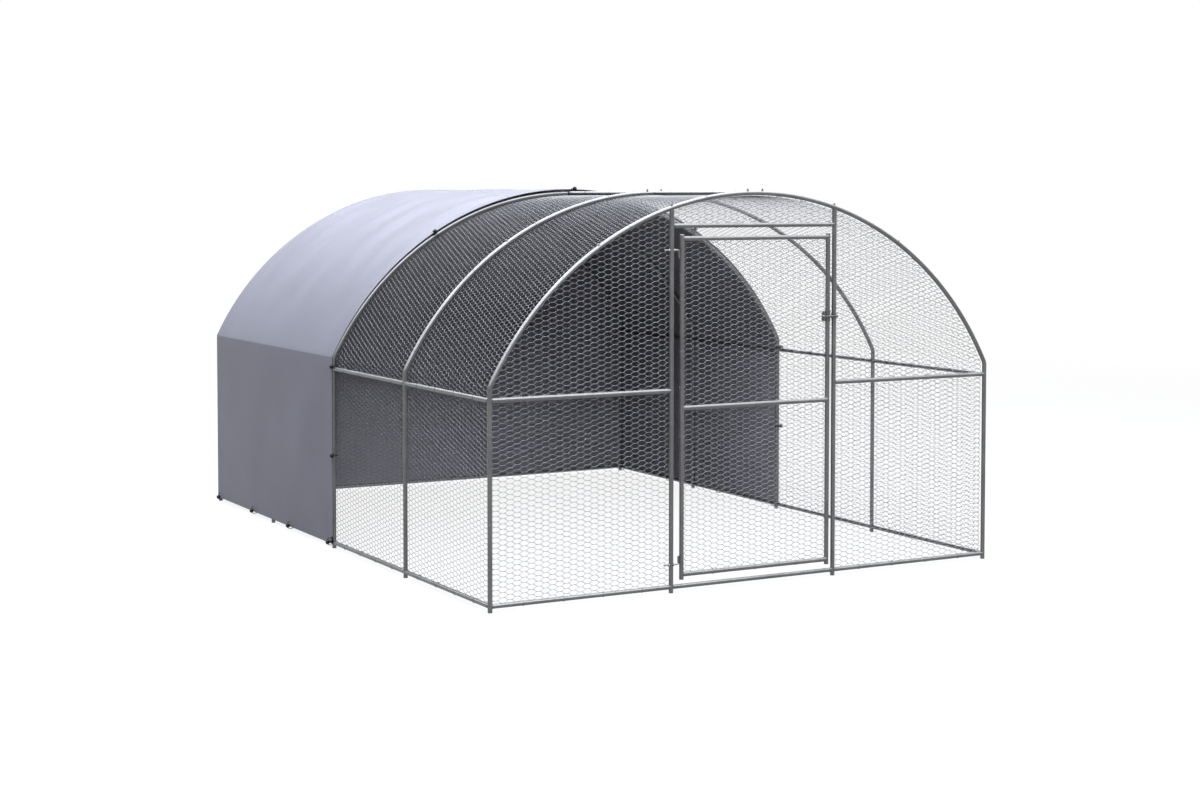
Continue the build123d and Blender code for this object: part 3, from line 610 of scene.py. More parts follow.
@dataclass
class WireNetting:
    """Hexagonal wire netting with twisted flats, behind the tubes on every side of the run."""

    finishes: Finishes
    pitch: float = 0.0254
    step: float = 0.0385
    twist: float = 0.022
    wire: float = 0.00115
    wire_sides: int = 4
    twist_wide: float = 0.00172
    twist_cuts: int = 2
    cut_grip: float = 0.000001
    inset: float = 0.0128
    jitter: float = 0.0007
    jitter_u: tuple[Wave, Wave] = (Wave(37.0, 91.0), Wave(113.0, -53.0, 1.0))
    jitter_v: tuple[Wave, Wave] = (Wave(83.0, 41.0, 2.0), Wave(29.0, -127.0))
    bulge: float = 0.0022
    bulge_waves: tuple[Wave, Wave] = (Wave(4.3, 2.1), Wave(-1.7, 3.1, 0.6))
    end: float = 1.986
    arch_planes: float = 3.0

    @property
    def wall(self) -> float:
        """Distance of the side nets from the run's middle."""
        return RUN.half_width - self.inset

    @property
    def arch(self) -> float:
        """Radius of the roof nets."""
        return RUN.arch_radius - self.inset

    @property
    def knee_angle(self) -> float:
        """Angle from the vertical at which the roof nets meet the side nets."""
        return math.asin(self.wall / self.arch)

    @property
    def reach(self) -> float:
        """Distance over a roof net from the ridge to the knee."""
        return self.arch * self.knee_angle

    def add_rod(self, bm: BMesh, radius: float, length: float, place: Matrix) -> None:
        """Add an open length of wire, made along Z.

        Args:
            bm: Bmesh to add to.
            radius: Radius of the wire.
            length: Its length.
            place: Where its middle lies and how it is turned.
        """
        bmesh.ops.create_cone(
            bm,
            cap_ends=False,
            segments=self.wire_sides,
            radius1=radius,
            radius2=radius,
            depth=length,
            matrix=place,
        )

    def cell(self) -> BMesh:
        """Make one repeat of the netting: two flats and the four slants between them.

        Returns:
            A bmesh in the XY plane, flats along X.
        """
        bm = bmesh.new()
        self.add_rod(bm, 1.0, self.twist, Matrix.Identity(4))
        lengthwise = [
            edge for edge in bm.edges if abs(edge.verts[0].co.z - edge.verts[1].co.z) > self.wire
        ]
        bmesh.ops.subdivide_edges(bm, edges=lengthwise, cuts=self.twist_cuts)
        for vert in bm.verts:
            turn = math.pi * vert.co.z / self.twist
            flat = Vector((vert.co.x * self.twist_wide, vert.co.y * self.wire, vert.co.z))
            vert.co = Matrix.Rotation(turn, 3, "Z") @ flat
        lying = Matrix.Rotation(math.pi / 2, 3, "Y")
        bmesh.ops.rotate(bm, verts=bm.verts, cent=(0, 0, 0), matrix=lying)
        tip = Vector((self.twist / 2, 0, 0))
        for way in (1, -1):
            next_tip = Vector((self.step - self.twist / 2, way * self.pitch / 2, 0))
            slant = next_tip - tip
            self.add_rod(bm, self.wire, slant.length, aim((tip + next_tip) / 2, slant))
        self.repeat(bm, 2, Vector((self.step, self.pitch / 2, 0)))
        return bm

    @staticmethod
    def repeat(bm: BMesh, count: int, offset: Vector) -> None:
        """Repeat everything in a bmesh in a row.

        Args:
            bm: Bmesh to fill.
            count: Number of copies, the first included.
            offset: Step from copy to copy.
        """
        unit = bm.verts[:] + bm.edges[:] + bm.faces[:]
        for index in range(1, count):
            copied = bmesh.ops.duplicate(bm, geom=unit)
            moved = [item for item in copied["geom"] if isinstance(item, BMVert)]
            bmesh.ops.translate(bm, verts=moved, vec=offset * index)

    def cut(self, bm: BMesh, point: Vector, away: Vector) -> None:
        """Cut off what lies past a plane.

        Args:
            bm: Bmesh to cut.
            point: Point on the plane.
            away: Normal towards the side that goes.
        """
        geom = bm.verts[:] + bm.edges[:] + bm.faces[:]
        bmesh.ops.bisect_plane(
            bm, geom=geom, dist=self.cut_grip, plane_co=point, plane_no=away, clear_outer=True
        )

    def panel(self, low: Pair, high: Pair) -> BMesh:
        """Make a flat rectangle of netting, cut from one endless pattern.

        Args:
            low: Lower left corner.
            high: Upper right corner.

        Returns:
            A bmesh in the XY plane.
        """
        bm = self.cell()
        pair = 2 * self.step
        column = math.floor(low[0] / pair) - 1
        row = math.floor(low[1] / self.pitch) - 1
        self.repeat(bm, math.ceil(high[1] / self.pitch) + 1 - row, Vector((0, self.pitch, 0)))
        self.repeat(bm, math.ceil(high[0] / pair) + 1 - column, Vector((pair, 0, 0)))
        bmesh.ops.translate(bm, verts=bm.verts, vec=(column * pair, row * self.pitch, 0))
        self.cut(bm, Vector((low[0], 0, 0)), Vector((-1, 0, 0)))
        self.cut(bm, Vector((high[0], 0, 0)), Vector((1, 0, 0)))
        self.cut(bm, Vector((0, low[1], 0)), Vector((0, -1, 0)))
        self.cut(bm, Vector((0, high[1], 0)), Vector((0, 1, 0)))
        return bm

    def round_off(self, bm: BMesh, low: float, high: float) -> None:
        """Cut an end panel back to the arch.

        Args:
            bm: Panel with X across and Y up.
            low: Leftmost X of the panel.
            high: Rightmost X of the panel.
        """
        radius = RUN.arch_radius
        first = math.degrees(math.asin(low / radius))
        last = math.degrees(math.asin(high / radius))
        steps = math.ceil((last - first) / self.arch_planes)
        for index in range(steps + 1):
            angle = math.radians(first + (last - first) * index / steps)
            away = Vector((math.sin(angle), math.cos(angle), 0))
            self.cut(bm, away * radius + Vector((0, RUN.arch_centre, 0)), away)

    def settle(self, piece: Object, layout: Layout) -> None:
        """Give a flat net its small unevenness and lay it in its place.

        Args:
            piece: Net in the XY plane.
            layout: Maps X, Y and the height off the net's plane to points of the run.
        """
        flat = np.empty(len(piece.data.vertices) * 3, np.float32)
        piece.data.vertices.foreach_get("co", flat)
        u, v, w = flat.reshape(-1, 3).astype(float).T
        shift_u = sum(wave.at(u, v) for wave in self.jitter_u)
        shift_v = sum(wave.at(u, v) for wave in self.jitter_v)
        lift = self.bulge_waves[0].at(u, v) * self.bulge_waves[1].at(u, v) + 1.0
        points = layout(
            u + self.jitter * shift_u / 2, v + self.jitter * shift_v / 2, w + self.bulge * lift / 2
        )
        piece.data.vertices.foreach_set("co", points.astype(np.float32).ravel())
        corner, *axes = layout(*np.vstack([np.zeros(3), np.eye(3)]).T)
        if np.linalg.det(np.array(axes) - corner) < 0:
            piece.data.flip_normals()
        piece.data.update()

    def add(self, name: str, bm: BMesh, layout: Layout, body: Body, node: str) -> None:
        """Finish one net.

        Args:
            name: Name of the piece.
            bm: Flat net.
            layout: Map from the flat net to the run.
            body: Body that carries it.
            node: CAD node that it stands for, whole or in part.
        """
        piece = self.finishes.piece(name, bm, body, Slot.NETTING)
        self.settle(piece, layout)
        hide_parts(node)

    def build(self) -> None:
        """Make every net of the run."""
        for side in Side:
            self.build_wall(side)
        for side in Side:
            self.build_roof(side)
        self.build_ends()

    def build_wall(self, side: Side) -> None:
        """Make the net of a side wall, which goes on from the roof net at the knee.

        Args:
            side: Side of the run.
        """
        way = side.value
        node = f"net_{side.label}_wall"
        top = RUN.arch_centre + self.arch * math.cos(self.knee_angle)
        bm = self.panel((-self.end, self.reach), (self.end, self.reach + top - RUN.rail))
        layout = plane((way * self.wall, 0, top + self.reach), (0, 1, 0), (0, 0, -1), (-way, 0, 0))
        self.add(f"wire_{node}", bm, layout, Body.FRAME, node)

    def build_roof(self, side: Side) -> None:
        """Make the arched net of one side of the roof, in a front and a rear piece.

        Args:
            side: Side of the run.
        """

        def layout(u: np.ndarray, v: np.ndarray, w: np.ndarray) -> np.ndarray:
            """Bend the net to the arch.

            Args:
                u: Places along the run.
                v: Distances over the net from the ridge.
                w: Heights off the net's plane, inwards.

            Returns:
                Points of the run.
            """
            turn = v / self.arch
            out = self.arch - w
            across = side.value * out * np.sin(turn)
            return np.stack([across, u, RUN.arch_centre + out * np.cos(turn)], axis=1)

        node = f"net_roof_{side.label}"
        for part, low, high in (("front", -self.end, 0.0), ("rear", 0.0, self.end)):
            bm = self.panel((low, 0.0), (high, self.reach))
            self.add(f"wire_{node}_{part}", bm, layout, Body.FRAME, node)

    def build_ends(self) -> None:
        """Make the nets of the front, the door and the rear."""
        wide = self.wall
        post = RUN.post_x
        end = RUN.half_length - self.inset
        in_front = plane((0, -end, 0), (1, 0, 0), (0, 0, 1), (0, 1, 0))
        in_rear = plane((0, end, 0), (1, 0, 0), (0, 0, 1), (0, -1, 0))
        panels = (
            ("net_front_left", "", -wide, -post, RUN.rail, in_front),
            ("net_front_right", "", post, wide, RUN.rail, in_front),
            ("net_front_top", "", -post, post, RUN.lintel, in_front),
            ("net_rear", "_left", -wide, 0.0, RUN.rail, in_rear),
            ("net_rear", "_right", 0.0, wide, RUN.rail, in_rear),
        )
        for node, part, low, high, bottom, layout in panels:
            bm = self.panel((low, bottom), (high, RUN.ridge))
            self.round_off(bm, low, high)
            self.add(f"wire_{node}{part}", bm, layout, Body.FRAME, node)
        bm = self.panel((RUN.hinge_stile_x, RUN.door_bottom), (RUN.latch_stile_x, RUN.door_top))
        self.add("wire_net_door", bm, in_front, Body.DOOR, "net_door")


@dataclass
class NetTies:
    """Small wire rings that bind the netting to the tubes of the open bays and of the door."""

    finishes: Finishes
    ring: float = 0.0132
    wire: float = 0.0009
    steps: int = 14
    sides: int = 4
    inward: float = 0.0008
    corner_share: float = 0.7
    row_count: int = 4
    rail_gap: float = 0.06
    rail_run: float = 0.88
    leg_foot: float = 0.1
    leg_run: float = 0.86
    post_foot: float = 0.2
    post_run: float = 1.05
    ridge_gap: float = 0.08
    ridge_run: float = 0.84
    ridge_counts: tuple[int, int] = (4, 3)
    arc_degrees: tuple[float, ...] = (10.0, 26.0, 41.0, 50.0, 57.0)
    stile_rows: tuple[tuple[float, float, int], ...] = ((0.2, 0.7, 3), (0.94, 0.36, 2), (1.41, 0.24, 2))
    door_rail_run: float = 0.76
    door_rail_count: int = 3

    @property
    def hoops(self) -> Pair:
        """Places along the run of the hoops in front of the open bays."""
        return -RUN.half_length, RUN.bay - RUN.half_length

    @property
    def back(self) -> Vector:
        """Where the netting of the front lies, seen from its tubes."""
        return Vector((0, self.inward, 0))

    def add_tie(self, bm: BMesh, place: Matrix) -> None:
        """Add one ring."""
        add_ring(bm, place, self.ring, self.wire, self.steps, self.sides)

    def add_row(self, bm: BMesh, start: Triple, run: Triple, shift: Vector, count: int) -> None:
        """Add rings along a straight tube.

        Args:
            bm: Bmesh to add to.
            start: Start of the row.
            run: Way from its start to its end.
            shift: Where the netting lies, seen from the tube's axis.
            count: Number of rings.
        """
        for index in range(count):
            middle = Vector(start) + Vector(run) * ((index + 0.5) / count) + shift
            self.add_tie(bm, aim(middle, Vector(run)))

    def add_side(self, bm: BMesh, way: int) -> None:
        """Add the rings of one side of the frame: rails, legs, hoops and door post.

        Args:
            bm: Bmesh to add to.
            way: 1 for the right side, -1 for the left.
        """
        front = -RUN.half_length
        wall = way * RUN.half_width
        side = Vector((-way * self.inward, 0, 0))
        corner = (side + self.back) * self.corner_share
        for height in (RUN.rail, RUN.eave):
            for hoop in self.hoops:
                start = (wall, hoop + self.rail_gap, height)
                self.add_row(bm, start, (0, self.rail_run, 0), side, self.row_count)
            start = (way * (RUN.post_x + self.rail_gap), front, height)
            self.add_row(bm, start, (way * self.rail_run, 0, 0), self.back, self.row_count)
        for hoop, shift in zip(self.hoops, (corner, side)):
            self.add_row(bm, (wall, hoop, self.leg_foot), (0, 0, self.leg_run), shift, self.row_count)
            for degrees in self.arc_degrees:
                angle = math.radians(degrees) * way
                tangent = Vector((math.cos(angle), 0, -math.sin(angle)))
                self.add_tie(bm, aim(RUN.arch_point(angle, hoop, -self.inward), tangent))
        post = (way * RUN.post_x, front, self.post_foot)
        self.add_row(bm, post, (0, 0, self.post_run), self.back, self.row_count)

    def build(self) -> None:
        """Make the rings of the frame and of the door."""
        front = -RUN.half_length
        bm = bmesh.new()
        for side in Side:
            self.add_side(bm, side.value)
        for hoop, count in zip(self.hoops, self.ridge_counts):
            start = (0, hoop + self.ridge_gap, RUN.ridge)
            self.add_row(bm, start, (0, self.ridge_run, 0), -self.inward * UP, count)
        lintel = (self.rail_gap - RUN.post_x, front, RUN.lintel)
        self.add_row(bm, lintel, (2 * (RUN.post_x - self.rail_gap), 0, 0), self.back, self.row_count)
        self.finishes.piece("net_ties_frame", bm, Body.FRAME, Slot.NETTING)
        bm = bmesh.new()
        for stile in (RUN.hinge_stile_x, RUN.latch_stile_x):
            for foot, run, count in self.stile_rows:
                self.add_row(bm, (stile, front, foot), (0, 0, run), self.back, count)
        for height in RUN.door_rails:
            start = (RUN.hinge_stile_x + self.rail_gap, front, height)
            self.add_row(bm, start, (self.door_rail_run, 0, 0), self.back, self.door_rail_count)
        self.finishes.piece("net_ties_door", bm, Body.DOOR, Slot.NETTING)


@dataclass
class TiedCover:
    """Cloth cover over the rear half: roof and walls in one sheet, a rear gable and hems."""

    finishes: Finishes
    wall_x: float = 1.51265
    bottom: float = 0.0245
    knee: float = 1.0805
    top: float = 2.02465
    front: float = -0.009
    rear: float = 2.01190
    gable_y: float = 2.01265
    thickness: float = 0.0012
    merge: float = 0.00002
    hem_width: float = 0.042
    hem_lift: float = 0.0005
    hem_thickness: float = 0.0006
    hem_rows: int = 3
    along_steps: int = 84
    wall_steps: int = 28
    knee_steps: int = 8
    knee_round: float = 0.012
    knee_drop: float = 0.0007
    half_roof_steps: int = 75
    front_fade: float = 0.16
    rear_fade: float = 0.10
    rim_fade: float = 0.12
    fold_height: float = 0.022
    fold_angle: float = 0.50
    fold_spread: float = 0.32
    crown_spread: float = 0.66
    ridge_share: float = 0.15
    roof_waves: tuple[Wave, ...] = (
        Wave(FULL_TURN / 0.43, 3.2),
        Wave(FULL_TURN / 0.29, -4.1, 1.1, 0.4),
        Wave(FULL_TURN / 0.63, 5.7, 2.4, 0.5),
    )
    sag: float = 0.006
    sag_share: float = 0.3
    wall_fade: float = 0.12
    wall_bulge: float = 0.0025
    left_wave: Wave = Wave(FULL_TURN / 0.71, 3.0, 1.9, 0.6)
    right_wave: Wave = Wave(FULL_TURN / 0.71, 3.0, 0.0, 0.6)
    gable_columns: int = 60
    gable_wall_rows: int = 30
    gable_arch_rows: int = 46
    gable_bulge: float = 0.004
    gable_ripple: float = 0.003
    gable_waves: tuple[Wave, Wave] = (Wave(3.1, 2.0), Wave(2.3, -4.1, 0.7))

    @property
    def radius(self) -> float:
        """Radius of the roof."""
        rise = self.top - self.knee
        return (self.wall_x**2 + rise**2) / (2 * rise)

    @property
    def centre(self) -> float:
        """Height of the roof's centre."""
        return self.top - self.radius

    @property
    def half_angle(self) -> float:
        """Angle of the roof's edge from the vertical."""
        return math.asin(self.wall_x / self.radius)

    @property
    def arc(self) -> float:
        """Distance over the cloth from the ridge to the knee."""
        return self.radius * self.half_angle

    @property
    def half_girth(self) -> float:
        """Distance over the cloth from the lower edge to the ridge."""
        return self.knee - self.bottom + self.arc

    def profile(self, run: float) -> tuple[Vector, Vector]:
        """Point and outward direction of the cloth in the XZ plane.

        Args:
            run: Distance over the cloth from the ridge, positive to the right.

        Returns:
            The point and the normal, with X across and Y up.
        """
        way = 1.0 if run >= 0 else -1.0
        past_knee = abs(run) - self.arc
        if past_knee <= 0:
            angle = abs(run) / self.radius
            normal = Vector((math.sin(angle), math.cos(angle)))
            point = normal * self.radius + Vector((0, self.centre))
        else:
            normal = Vector((1.0, 0.0))
            point = Vector((self.wall_x, self.knee - past_knee))
        near = abs(past_knee) / self.knee_round
        if near < 1.0:
            share = 0.5 + 0.5 * past_knee / self.knee_round
            bent = Vector((math.sin(self.half_angle), math.cos(self.half_angle)))
            normal = bent.lerp(Vector((1.0, 0.0)), share).normalized()
            point = point - normal * self.knee_drop * (1.0 - near)
        return Vector((way * point.x, point.y)), Vector((way * normal.x, normal.y))

    def stations(self) -> list[float]:
        """Distances over the cloth at which it has rows of points, close together at the knees.

        Returns:
            Distances from the ridge, from the left lower edge to the right one.
        """
        below = self.arc + self.knee_round
        above = self.arc - self.knee_round
        wall = np.linspace(self.half_girth, below, self.wall_steps, endpoint=False)
        bend = np.linspace(below, above, self.knee_steps, endpoint=False)
        roof = np.linspace(above, 0.0, self.half_roof_steps, endpoint=False)
        right = [float(value) for value in np.concatenate([wall, bend, roof])]
        return [-value for value in right] + [0.0] + right[::-1]

    def fold(self, run: float, y: float) -> float:
        """How far the cloth stands off its plain shape.

        Args:
            run: Distance over the cloth from the ridge.
            y: Place along the run.

        Returns:
            Distance outwards, in metres.
        """
        from_front = min(1.0, max(0.0, (y - self.front) / self.front_fade))
        from_rear = min(1.0, max(0.0, (self.rear - y) / self.rear_fade))
        edge = from_front * from_rear
        edge = edge * edge * (3 - 2 * edge)
        between_hoops = math.sin(math.pi * y / RUN.bay) ** 2
        if abs(run) <= self.arc:
            return edge * self.roof_fold(run, y, between_hoops)
        return edge * self.wall_fold(run, y) * between_hoops

    def roof_fold(self, run: float, y: float, between_hoops: float) -> float:
        """How far the roof stands off its plain arch: slanting folds, and a sag between hoops.

        Args:
            run: Distance over the cloth from the ridge.
            y: Place along the run.
            between_hoops: 0 at a hoop, 1 halfway to the next.

        Returns:
            Distance outwards, in metres.
        """
        angle = abs(run) / self.radius
        crown = math.exp(-((angle / self.crown_spread) ** 2))
        flank = math.exp(-(((angle - self.fold_angle) / self.fold_spread) ** 2))
        loose = flank + self.ridge_share * crown
        highest = sum(wave.height for wave in self.roof_waves)
        crest = 0.5 + sum(wave.at(y, run) for wave in self.roof_waves) / (2 * highest)
        rim = min(1.0, (self.half_angle - angle) / self.rim_fade)
        drop = self.sag * between_hoops * (self.sag_share + (1 - self.sag_share) * crown)
        return rim * (self.fold_height * loose * crest - drop)

    def wall_fold(self, run: float, y: float) -> float:
        """How far a wall bulges halfway between two hoops.

        Args:
            run: Distance over the cloth from the ridge.
            y: Place along the run.

        Returns:
            Distance outwards, in metres.
        """
        height = self.knee - (abs(run) - self.arc)
        share = (height - self.bottom) / (self.knee - self.bottom - self.wall_fade)
        wave = self.right_wave if run > 0 else self.left_wave
        return self.wall_bulge * max(0.0, math.sin(math.pi * share)) * (1.0 + wave.at(y, height))

    def surface(self, run: float, y: float, lift: float) -> Vector:
        """Point of the cloth's outer face.

        Args:
            run: Distance over the cloth from the ridge.
            y: Place along the run.
            lift: Further distance outwards.

        Returns:
            The point in the run's frame.
        """
        point, normal = self.profile(run)
        point = point + normal * (self.fold(run, y) + lift)
        return Vector((point.x, y, point.y))

    def sheet(self, name: str, columns: int, rows: int, spot: Spot, thickness: float) -> Object:
        """Make a sheet of cloth from a grid.

        Args:
            name: Name of the piece.
            columns: Faces along the grid.
            rows: Faces across it.
            spot: Gives a point's place, and its place on the flat cloth, by column and row.
            thickness: Thickness inwards from the outer face.

        Returns:
            The piece, with its UV map in metres and its cut edges shaded apart from its faces.
        """
        bm = bmesh.new()
        bmesh.ops.create_grid(bm, x_segments=columns, y_segments=rows, size=0.5, calc_uvs=True)
        uv = bm.loops.layers.uv.verify()
        flat = {}
        for vert in bm.verts:
            column = round((vert.co.x + 0.5) * columns)
            row = round((vert.co.y + 0.5) * rows)
            vert.co, flat[vert] = spot(column, row)
        for face in bm.faces:
            for loop in face.loops:
                loop[uv].uv = flat[loop.vert]
        bmesh.ops.remove_doubles(bm, verts=bm.verts, dist=self.merge)
        bmesh.ops.recalc_face_normals(bm, faces=bm.faces)
        inside = Vector((0, RUN.half_length / 2, RUN.eave))
        outward = sum(
            face.normal.dot(face.calc_center_median() - inside) * face.calc_area() for face in bm.faces
        )
        if outward < 0:
            bmesh.ops.reverse_faces(bm, faces=bm.faces)
        for edge in bm.edges:
            edge.smooth = not edge.is_boundary
        piece = self.finishes.piece(name, bm, Body.FRAME, Slot.COVER)
        solid = piece.modifiers.new("thickness", "SOLIDIFY")
        solid.thickness = thickness
        solid.offset = -1.0
        solid.material_offset = 1
        return piece

    def strip(
        self, name: str, runs: Sequence[float], places: Sequence[float], lift: float, thickness: float
    ) -> Object:
        """Make a sheet on the cover's shape.

        Args:
            name: Name of the piece.
            runs: Distances over the cloth from the ridge, one for each row.
            places: Places along the run, one for each column.
            lift: Distance outside the cover's own surface.
            thickness: Thickness inwards from the outer face.

        Returns:
            The piece.
        """

        def spot(column: int, row: int) -> tuple[Vector, Pair]:
            """Place of a point, and its place on the flat cloth."""
            return self.surface(runs[row], places[column], lift), (places[column], runs[row])

        return self.sheet(name, len(places) - 1, len(runs) - 1, spot, thickness)

    def hem(self, name: str, runs: Sequence[float], places: Sequence[float]) -> Object:
        """Make a hem, which lies on the cover."""
        return self.strip(name, runs, places, self.hem_lift, self.hem_thickness)

    def gable(self) -> Object:
        """Make the rear gable as a sheet cut to the arch.

        Returns:
            The piece.
        """
        wall = np.linspace(self.bottom, self.knee, self.gable_wall_rows, endpoint=False)
        turns = np.linspace(self.half_angle, 0.0, self.gable_arch_rows)
        heights = [float(value) for value in wall]
        heights += [self.centre + self.radius * math.cos(turn) for turn in turns]
        first, second = self.gable_waves

        def spot(column: int, row: int) -> tuple[Vector, Pair]:
            """Find a point of the gable.

            Args:
                column: Column of the grid, from the left.
                row: Row of the grid, from the ground.

            Returns:
                Its place, and its place on the flat cloth.
            """
            share = 2 * column / self.gable_columns - 1
            height = heights[row]
            x = share * self.half_width_at(height)
            up = math.sin(math.pi * (height - self.bottom) / (self.top - self.bottom))
            ripple = first.at(x, height) * second.at(x, height)
            bulge = (1 - share**2) * max(0.0, up) * (self.gable_bulge + self.gable_ripple * ripple)
            return Vector((x, self.gable_y + bulge, height)), (x, height)

        return self.sheet("cover_gable", self.gable_columns, len(heights) - 1, spot, self.thickness)

    def half_width_at(self, height: float) -> float:
        """Half width of the gable at a height."""
        arch = math.sqrt(max(self.radius**2 - (height - self.centre) ** 2, 0.0))
        return self.wall_x if height <= self.knee else arch

    def build(self) -> None:
        """Make the cover: its sheet, its hems and its rear gable."""
        places = list(np.linspace(self.front, self.rear, self.along_steps + 1))
        runs = self.stations()
        cloth = self.strip("cover_sheet", runs, places, 0.0, self.thickness)
        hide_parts("cover_roof", "cover_left_wall", "cover_right_wall")
        inset = np.linspace(0.0, self.hem_width, self.hem_rows)
        hems = [self.hem("cover_front_hem", runs, list(self.front + inset))]
        for side in Side:
            rows = sorted(side.value * (self.half_girth - inset))
            hems.append(self.hem(f"cover_{side.label}_hem", rows, places))
        gable = self.gable()
        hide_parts("cover_rear")


@dataclass(frozen=True)
class TiePlace:
    """One tie: a point on its tube's axis, its two directions and how far its loop and ball reach."""

    axis: Vector
    into: Vector
    out: Vector
    high: float
    front: float
    setback: float

    def at(self, depth: float, height: float) -> Vector:
        """Point at a depth into the cover and a height outwards from the tube's axis."""
        return self.axis + self.into * depth + self.out * height


@dataclass
class CoverTies:
    """Elastic loops with balls that hold the cover to the tubes."""

    finishes: Finishes
    cover: TiedCover
    cord: float = 0.002
    cord_rounding: int = 2
    cord_steps: int = 8
    eyelet: float = 0.027
    front: float = 0.027
    setback: float = 0.020
    ground_front: float = 0.0175
    inner: float = 0.0161
    wall_sheet: float = 0.0119
    roof_sheet_drop: float = 0.00075
    ball_clear: float = 0.0195
    ground_clear: float = 0.0267
    sheet_clear: float = 0.005
    wall_height: float = 0.527
    eave_gap: float = 0.0005
    ground_first: float = 0.035
    ground_span: float = 1.93
    ground_count: int = 4
    arch_degrees: float = 31.0
    ridge_beside: float = 0.031
    ball: float = 0.0125
    ball_columns: int = 24
    ball_rows: int = 14
    seam_out: float = 0.985
    seam_wire: float = 0.05
    collar_out: float = 0.93
    collar_ring: float = 1.5
    collar_wire: float = 0.5
    collar_steps: int = 14
    ring_sides: int = 6

    def places(self) -> list[TiePlace]:
        """Places of the ties.

        Returns:
            Two on each wall at the cover's front edge and four on its lower edge, three over the arch.
        """
        found = []
        into = Vector((0, 1, 0))
        eave = RUN.eave + RUN.tube_radius + self.cord + self.eave_gap
        for side in Side:
            wall = side.value * RUN.half_width
            out = Vector((side.value, 0, 0))
            high = self.outer(self.wall_sheet)
            for height in (self.wall_height, eave):
                axis = Vector((wall, 0, height))
                found.append(TiePlace(axis, into, out, high, self.front, self.setback))
            for index in range(self.ground_count):
                y = self.ground_first + index * self.ground_span / (self.ground_count - 1)
                axis = Vector((wall, y, RUN.rail))
                found.append(TiePlace(axis, UP, out, self.ground_clear, self.ground_front, 0.0))
        lift = self.cover.centre - RUN.arch_centre
        sheet = self.cover.radius - self.roof_sheet_drop
        side_angle = math.radians(self.arch_degrees)
        for angle in (-side_angle, self.ridge_beside / RUN.arch_radius, side_angle):
            out = Vector((math.sin(angle), 0, math.cos(angle)))
            reach = lift * math.cos(angle) + math.sqrt(sheet**2 - (lift * math.sin(angle)) ** 2)
            high = self.outer(reach - RUN.arch_radius)
            axis = RUN.arch_point(angle, 0.0)
            found.append(TiePlace(axis, into, out, high, self.front, self.setback))
        return found

    def outer(self, sheet: float) -> float:
        """Distance of a loop's outer run from the tube's axis, from that of the sheet."""
        return max(self.ball_clear, sheet + self.sheet_clear)

    def loop(self, points: Sequence[Vector]) -> Mesh:
        """Make one closed loop of cord.

        Args:
            points: Corners of its route.

        Returns:
            A mesh of the round cord.
        """
        curve = bpy.data.curves.new("loop", "CURVE")
        curve.dimensions = "3D"
        curve.bevel_depth = self.cord
        curve.bevel_resolution = self.cord_rounding
        curve.resolution_u = self.cord_steps
        spline = curve.splines.new("NURBS")
        spline.points.add(len(points) - 1)
        for point, place in zip(spline.points, points):
            point.co = (*place, 1.0)
        spline.use_cyclic_u = True
        spline.order_u = 3
        holder = bpy.data.objects.new("loop", curve)
        mesh = bpy.data.meshes.new_from_object(holder)
        bpy.data.objects.remove(holder)
        bpy.data.curves.remove(curve)
        return mesh

    def add_ball(self, bm: BMesh, middle: Vector, axis: Vector) -> None:
        """Add one ball with a seam round it and a collar at each end of its bore.

        Args:
            bm: Bmesh to add to.
            middle: Centre of the ball.
            axis: Direction of its bore.
        """
        place = aim(middle, axis)
        bmesh.ops.create_uvsphere(
            bm, u_segments=self.ball_columns, v_segments=self.ball_rows, radius=self.ball, matrix=place
        )
        seam = self.ball * self.seam_out
        add_ring(bm, place, seam, self.ball * self.seam_wire, self.ball_columns, self.ring_sides)
        ring = self.cord * self.collar_ring
        wire = self.cord * self.collar_wire
        for way in (1, -1):
            end = aim(middle + axis * way * self.ball * self.collar_out, axis)
            add_ring(bm, end, ring, wire, self.collar_steps, self.ring_sides)

    def build(self) -> None:
        """Make all the loops and balls."""
        loops = bmesh.new()
        balls = bmesh.new()
        for tie in self.places():
            corners = (
                (0.0, -self.inner),
                (self.eyelet, -self.inner),
                (self.eyelet, tie.high),
                (0.0, tie.high),
                (-tie.front, tie.high),
                (-tie.front, -self.inner),
            )
            mesh = self.loop([tie.at(depth, height) for depth, height in corners])
            loops.from_mesh(mesh)
            bpy.data.meshes.remove(mesh)
            self.add_ball(balls, tie.at(-tie.setback, tie.high), tie.into)
        cords = self.finishes.piece("elastic_loops", loops, Body.FRAME, Slot.CORD)
        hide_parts("tie_cords")
        beads = self.finishes.piece("tie_ball_set", balls, Body.FRAME, Slot.BALL)
        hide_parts("tie_balls")


@dataclass(frozen=True)
class SoftLamp:
    """A wide lamp overhead that shines straight down and that the camera doesn't see."""

    name: str
    place: Triple
    size: Pair
    power: float
    colour: Triple
    lights_surfaces: bool = True

    def build(self) -> None:
        """Make the lamp, which shows in reflections alone if it lights no surfaces."""
        data = bpy.data.lights.new(self.name, "AREA")
        data.shape = "RECTANGLE"
        data.size, data.size_y = self.size
        data.energy = self.power
        data.color = self.colour
        lamp = bpy.data.objects.new(self.name, data)
        lamp.location = self.place
        lamp.visible_camera = False
        lamp.visible_diffuse = self.lights_surfaces
        bpy.context.scene.collection.objects.link(lamp)


